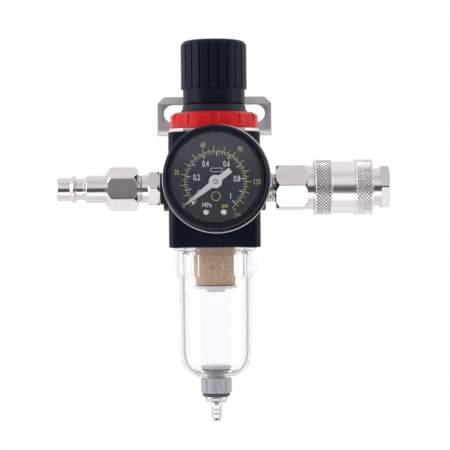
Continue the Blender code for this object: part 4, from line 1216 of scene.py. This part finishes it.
out = wn("ShaderNodeOutputWorld")
background = wn("ShaderNodeBackground")
tex = wn("ShaderNodeTexCoord")
parts = wn("ShaderNodeSeparateXYZ")
w.links.new(tex.outputs["Generated"], parts.inputs[0])
minus = wn("ShaderNodeMath", operation="MULTIPLY")
minus.inputs[1].default_value = -1.0
w.links.new(parts.outputs["Y"], minus.inputs[0])
angle = wn("ShaderNodeMath", operation="ARCTAN2")
w.links.new(parts.outputs["Z"], angle.inputs[0])
w.links.new(minus.outputs[0], angle.inputs[1])
place = wn("ShaderNodeMapRange")
place.inputs["From Min"].default_value = -PI
place.inputs["From Max"].default_value = PI
w.links.new(angle.outputs[0], place.inputs["Value"])
ramp = wn("ShaderNodeValToRGB")
w.links.new(place.outputs["Result"], ramp.inputs[0])
# brightness of the studio against elevation: 0 faces the camera, 90 is overhead, 180 behind
STUDIO = [(-180, .80), (-130, .85), (-118, 1.05), (-104, .85), (-68, .85), (-58, 1.05), (-51, 1.5), (-33, 1.6),
          (-26, .30), (-21, .12), (-4, .09), (3, .14), (8, .42), (13, .80), (18, .88), (42, .80), (50, .68), (66, .68),
          (80, .85), (150, .88), (180, .80)]
ramp.color_ramp.interpolation = "EASE"
elements = ramp.color_ramp.elements
for k, (e, v) in enumerate(STUDIO):
    x = (e + 180) / 360
    item = elements[k] if k < 1 else (elements[-1] if k == len(STUDIO) - 1 else elements.new(x))
    item.position = x
    item.color = (v / 2, v / 2, v / 2, 1)
double = wn("ShaderNodeVectorMath", operation="SCALE")
double.inputs["Scale"].default_value = 2.0
w.links.new(ramp.outputs["Color"], double.inputs[0])
# paler panels at both sides
side = wn("ShaderNodeMath", operation="ABSOLUTE")
w.links.new(parts.outputs["X"], side.inputs[0])
panel = wn("ShaderNodeMapRange", interpolation_type="SMOOTHSTEP")
panel.inputs["From Min"].default_value = 0.62
panel.inputs["From Max"].default_value = 0.90
w.links.new(side.outputs[0], panel.inputs["Value"])
left = wn("ShaderNodeMapRange")
left.inputs["From Min"].default_value = -1.0
left.inputs["From Max"].default_value = 1.0
left.inputs["To Min"].default_value = 1.05
left.inputs["To Max"].default_value = 0.80
w.links.new(parts.outputs["X"], left.inputs["Value"])
sides = wn("ShaderNodeMix", data_type="RGBA")
w.links.new(panel.outputs["Result"], sides.inputs[0])
w.links.new(double.outputs[0], sides.inputs[6])
w.links.new(left.outputs["Result"], sides.inputs[7])
path = wn("ShaderNodeLightPath")
seen = wn("ShaderNodeMath", operation="MAXIMUM")
w.links.new(path.outputs["Is Camera Ray"], seen.inputs[0])
w.links.new(path.outputs["Is Transmission Ray"], seen.inputs[1])
white_mix = wn("ShaderNodeMix", data_type="RGBA")
w.links.new(seen.outputs[0], white_mix.inputs[0])
w.links.new(sides.outputs[2], white_mix.inputs[6])
white_mix.inputs[7].default_value = (1.0, 1.0, 1.0, 1)
w.links.new(white_mix.outputs[2], background.inputs["Color"])
w.links.new(background.outputs[0], out.inputs["Surface"])


def lamp(name, where, aim, size, power):
    data = bpy.data.lights.new(name, "AREA")
    data.shape = "RECTANGLE"
    data.size, data.size_y = size
    data.energy = power
    obj = bpy.data.objects.new(name, data)
    obj.location = where
    obj.rotation_mode = "QUATERNION"
    obj.rotation_quaternion = (Vector(aim) - Vector(where)).to_track_quat("-Z", "Y")
    bpy.context.collection.objects.link(obj)
    obj.visible_camera = False
    return obj


lamp("soft_left", (-0.75, -0.25, 0.15), (0, -0.03, -0.04), (0.35, 0.7), 1.6)
lamp("soft_right", (0.75, -0.15, 0.10), (0, -0.03, -0.04), (0.25, 0.6), 0.9)

camera_data = bpy.data.cameras.new("camera")
camera_data.lens = 144.0
camera_data.sensor_width = 36.0
camera_data.clip_start = 0.05
camera_data.clip_end = 20.0
camera = bpy.data.objects.new("camera", camera_data)
bpy.context.collection.objects.link(camera)
camera.matrix_world = (Matrix.Translation((0.00444, -0.830, -0.04597)) @ rot(89.65, "X") @ rot(-0.5, "Z"))
bpy.context.scene.camera = camera
bpy.context.scene.view_settings.view_transform = "Standard"
bpy.context.scene.view_settings.look = "None"

for mesh in [m for m in bpy.data.meshes if m.name.startswith("tmp_") and not m.users]:
    bpy.data.meshes.remove(mesh)
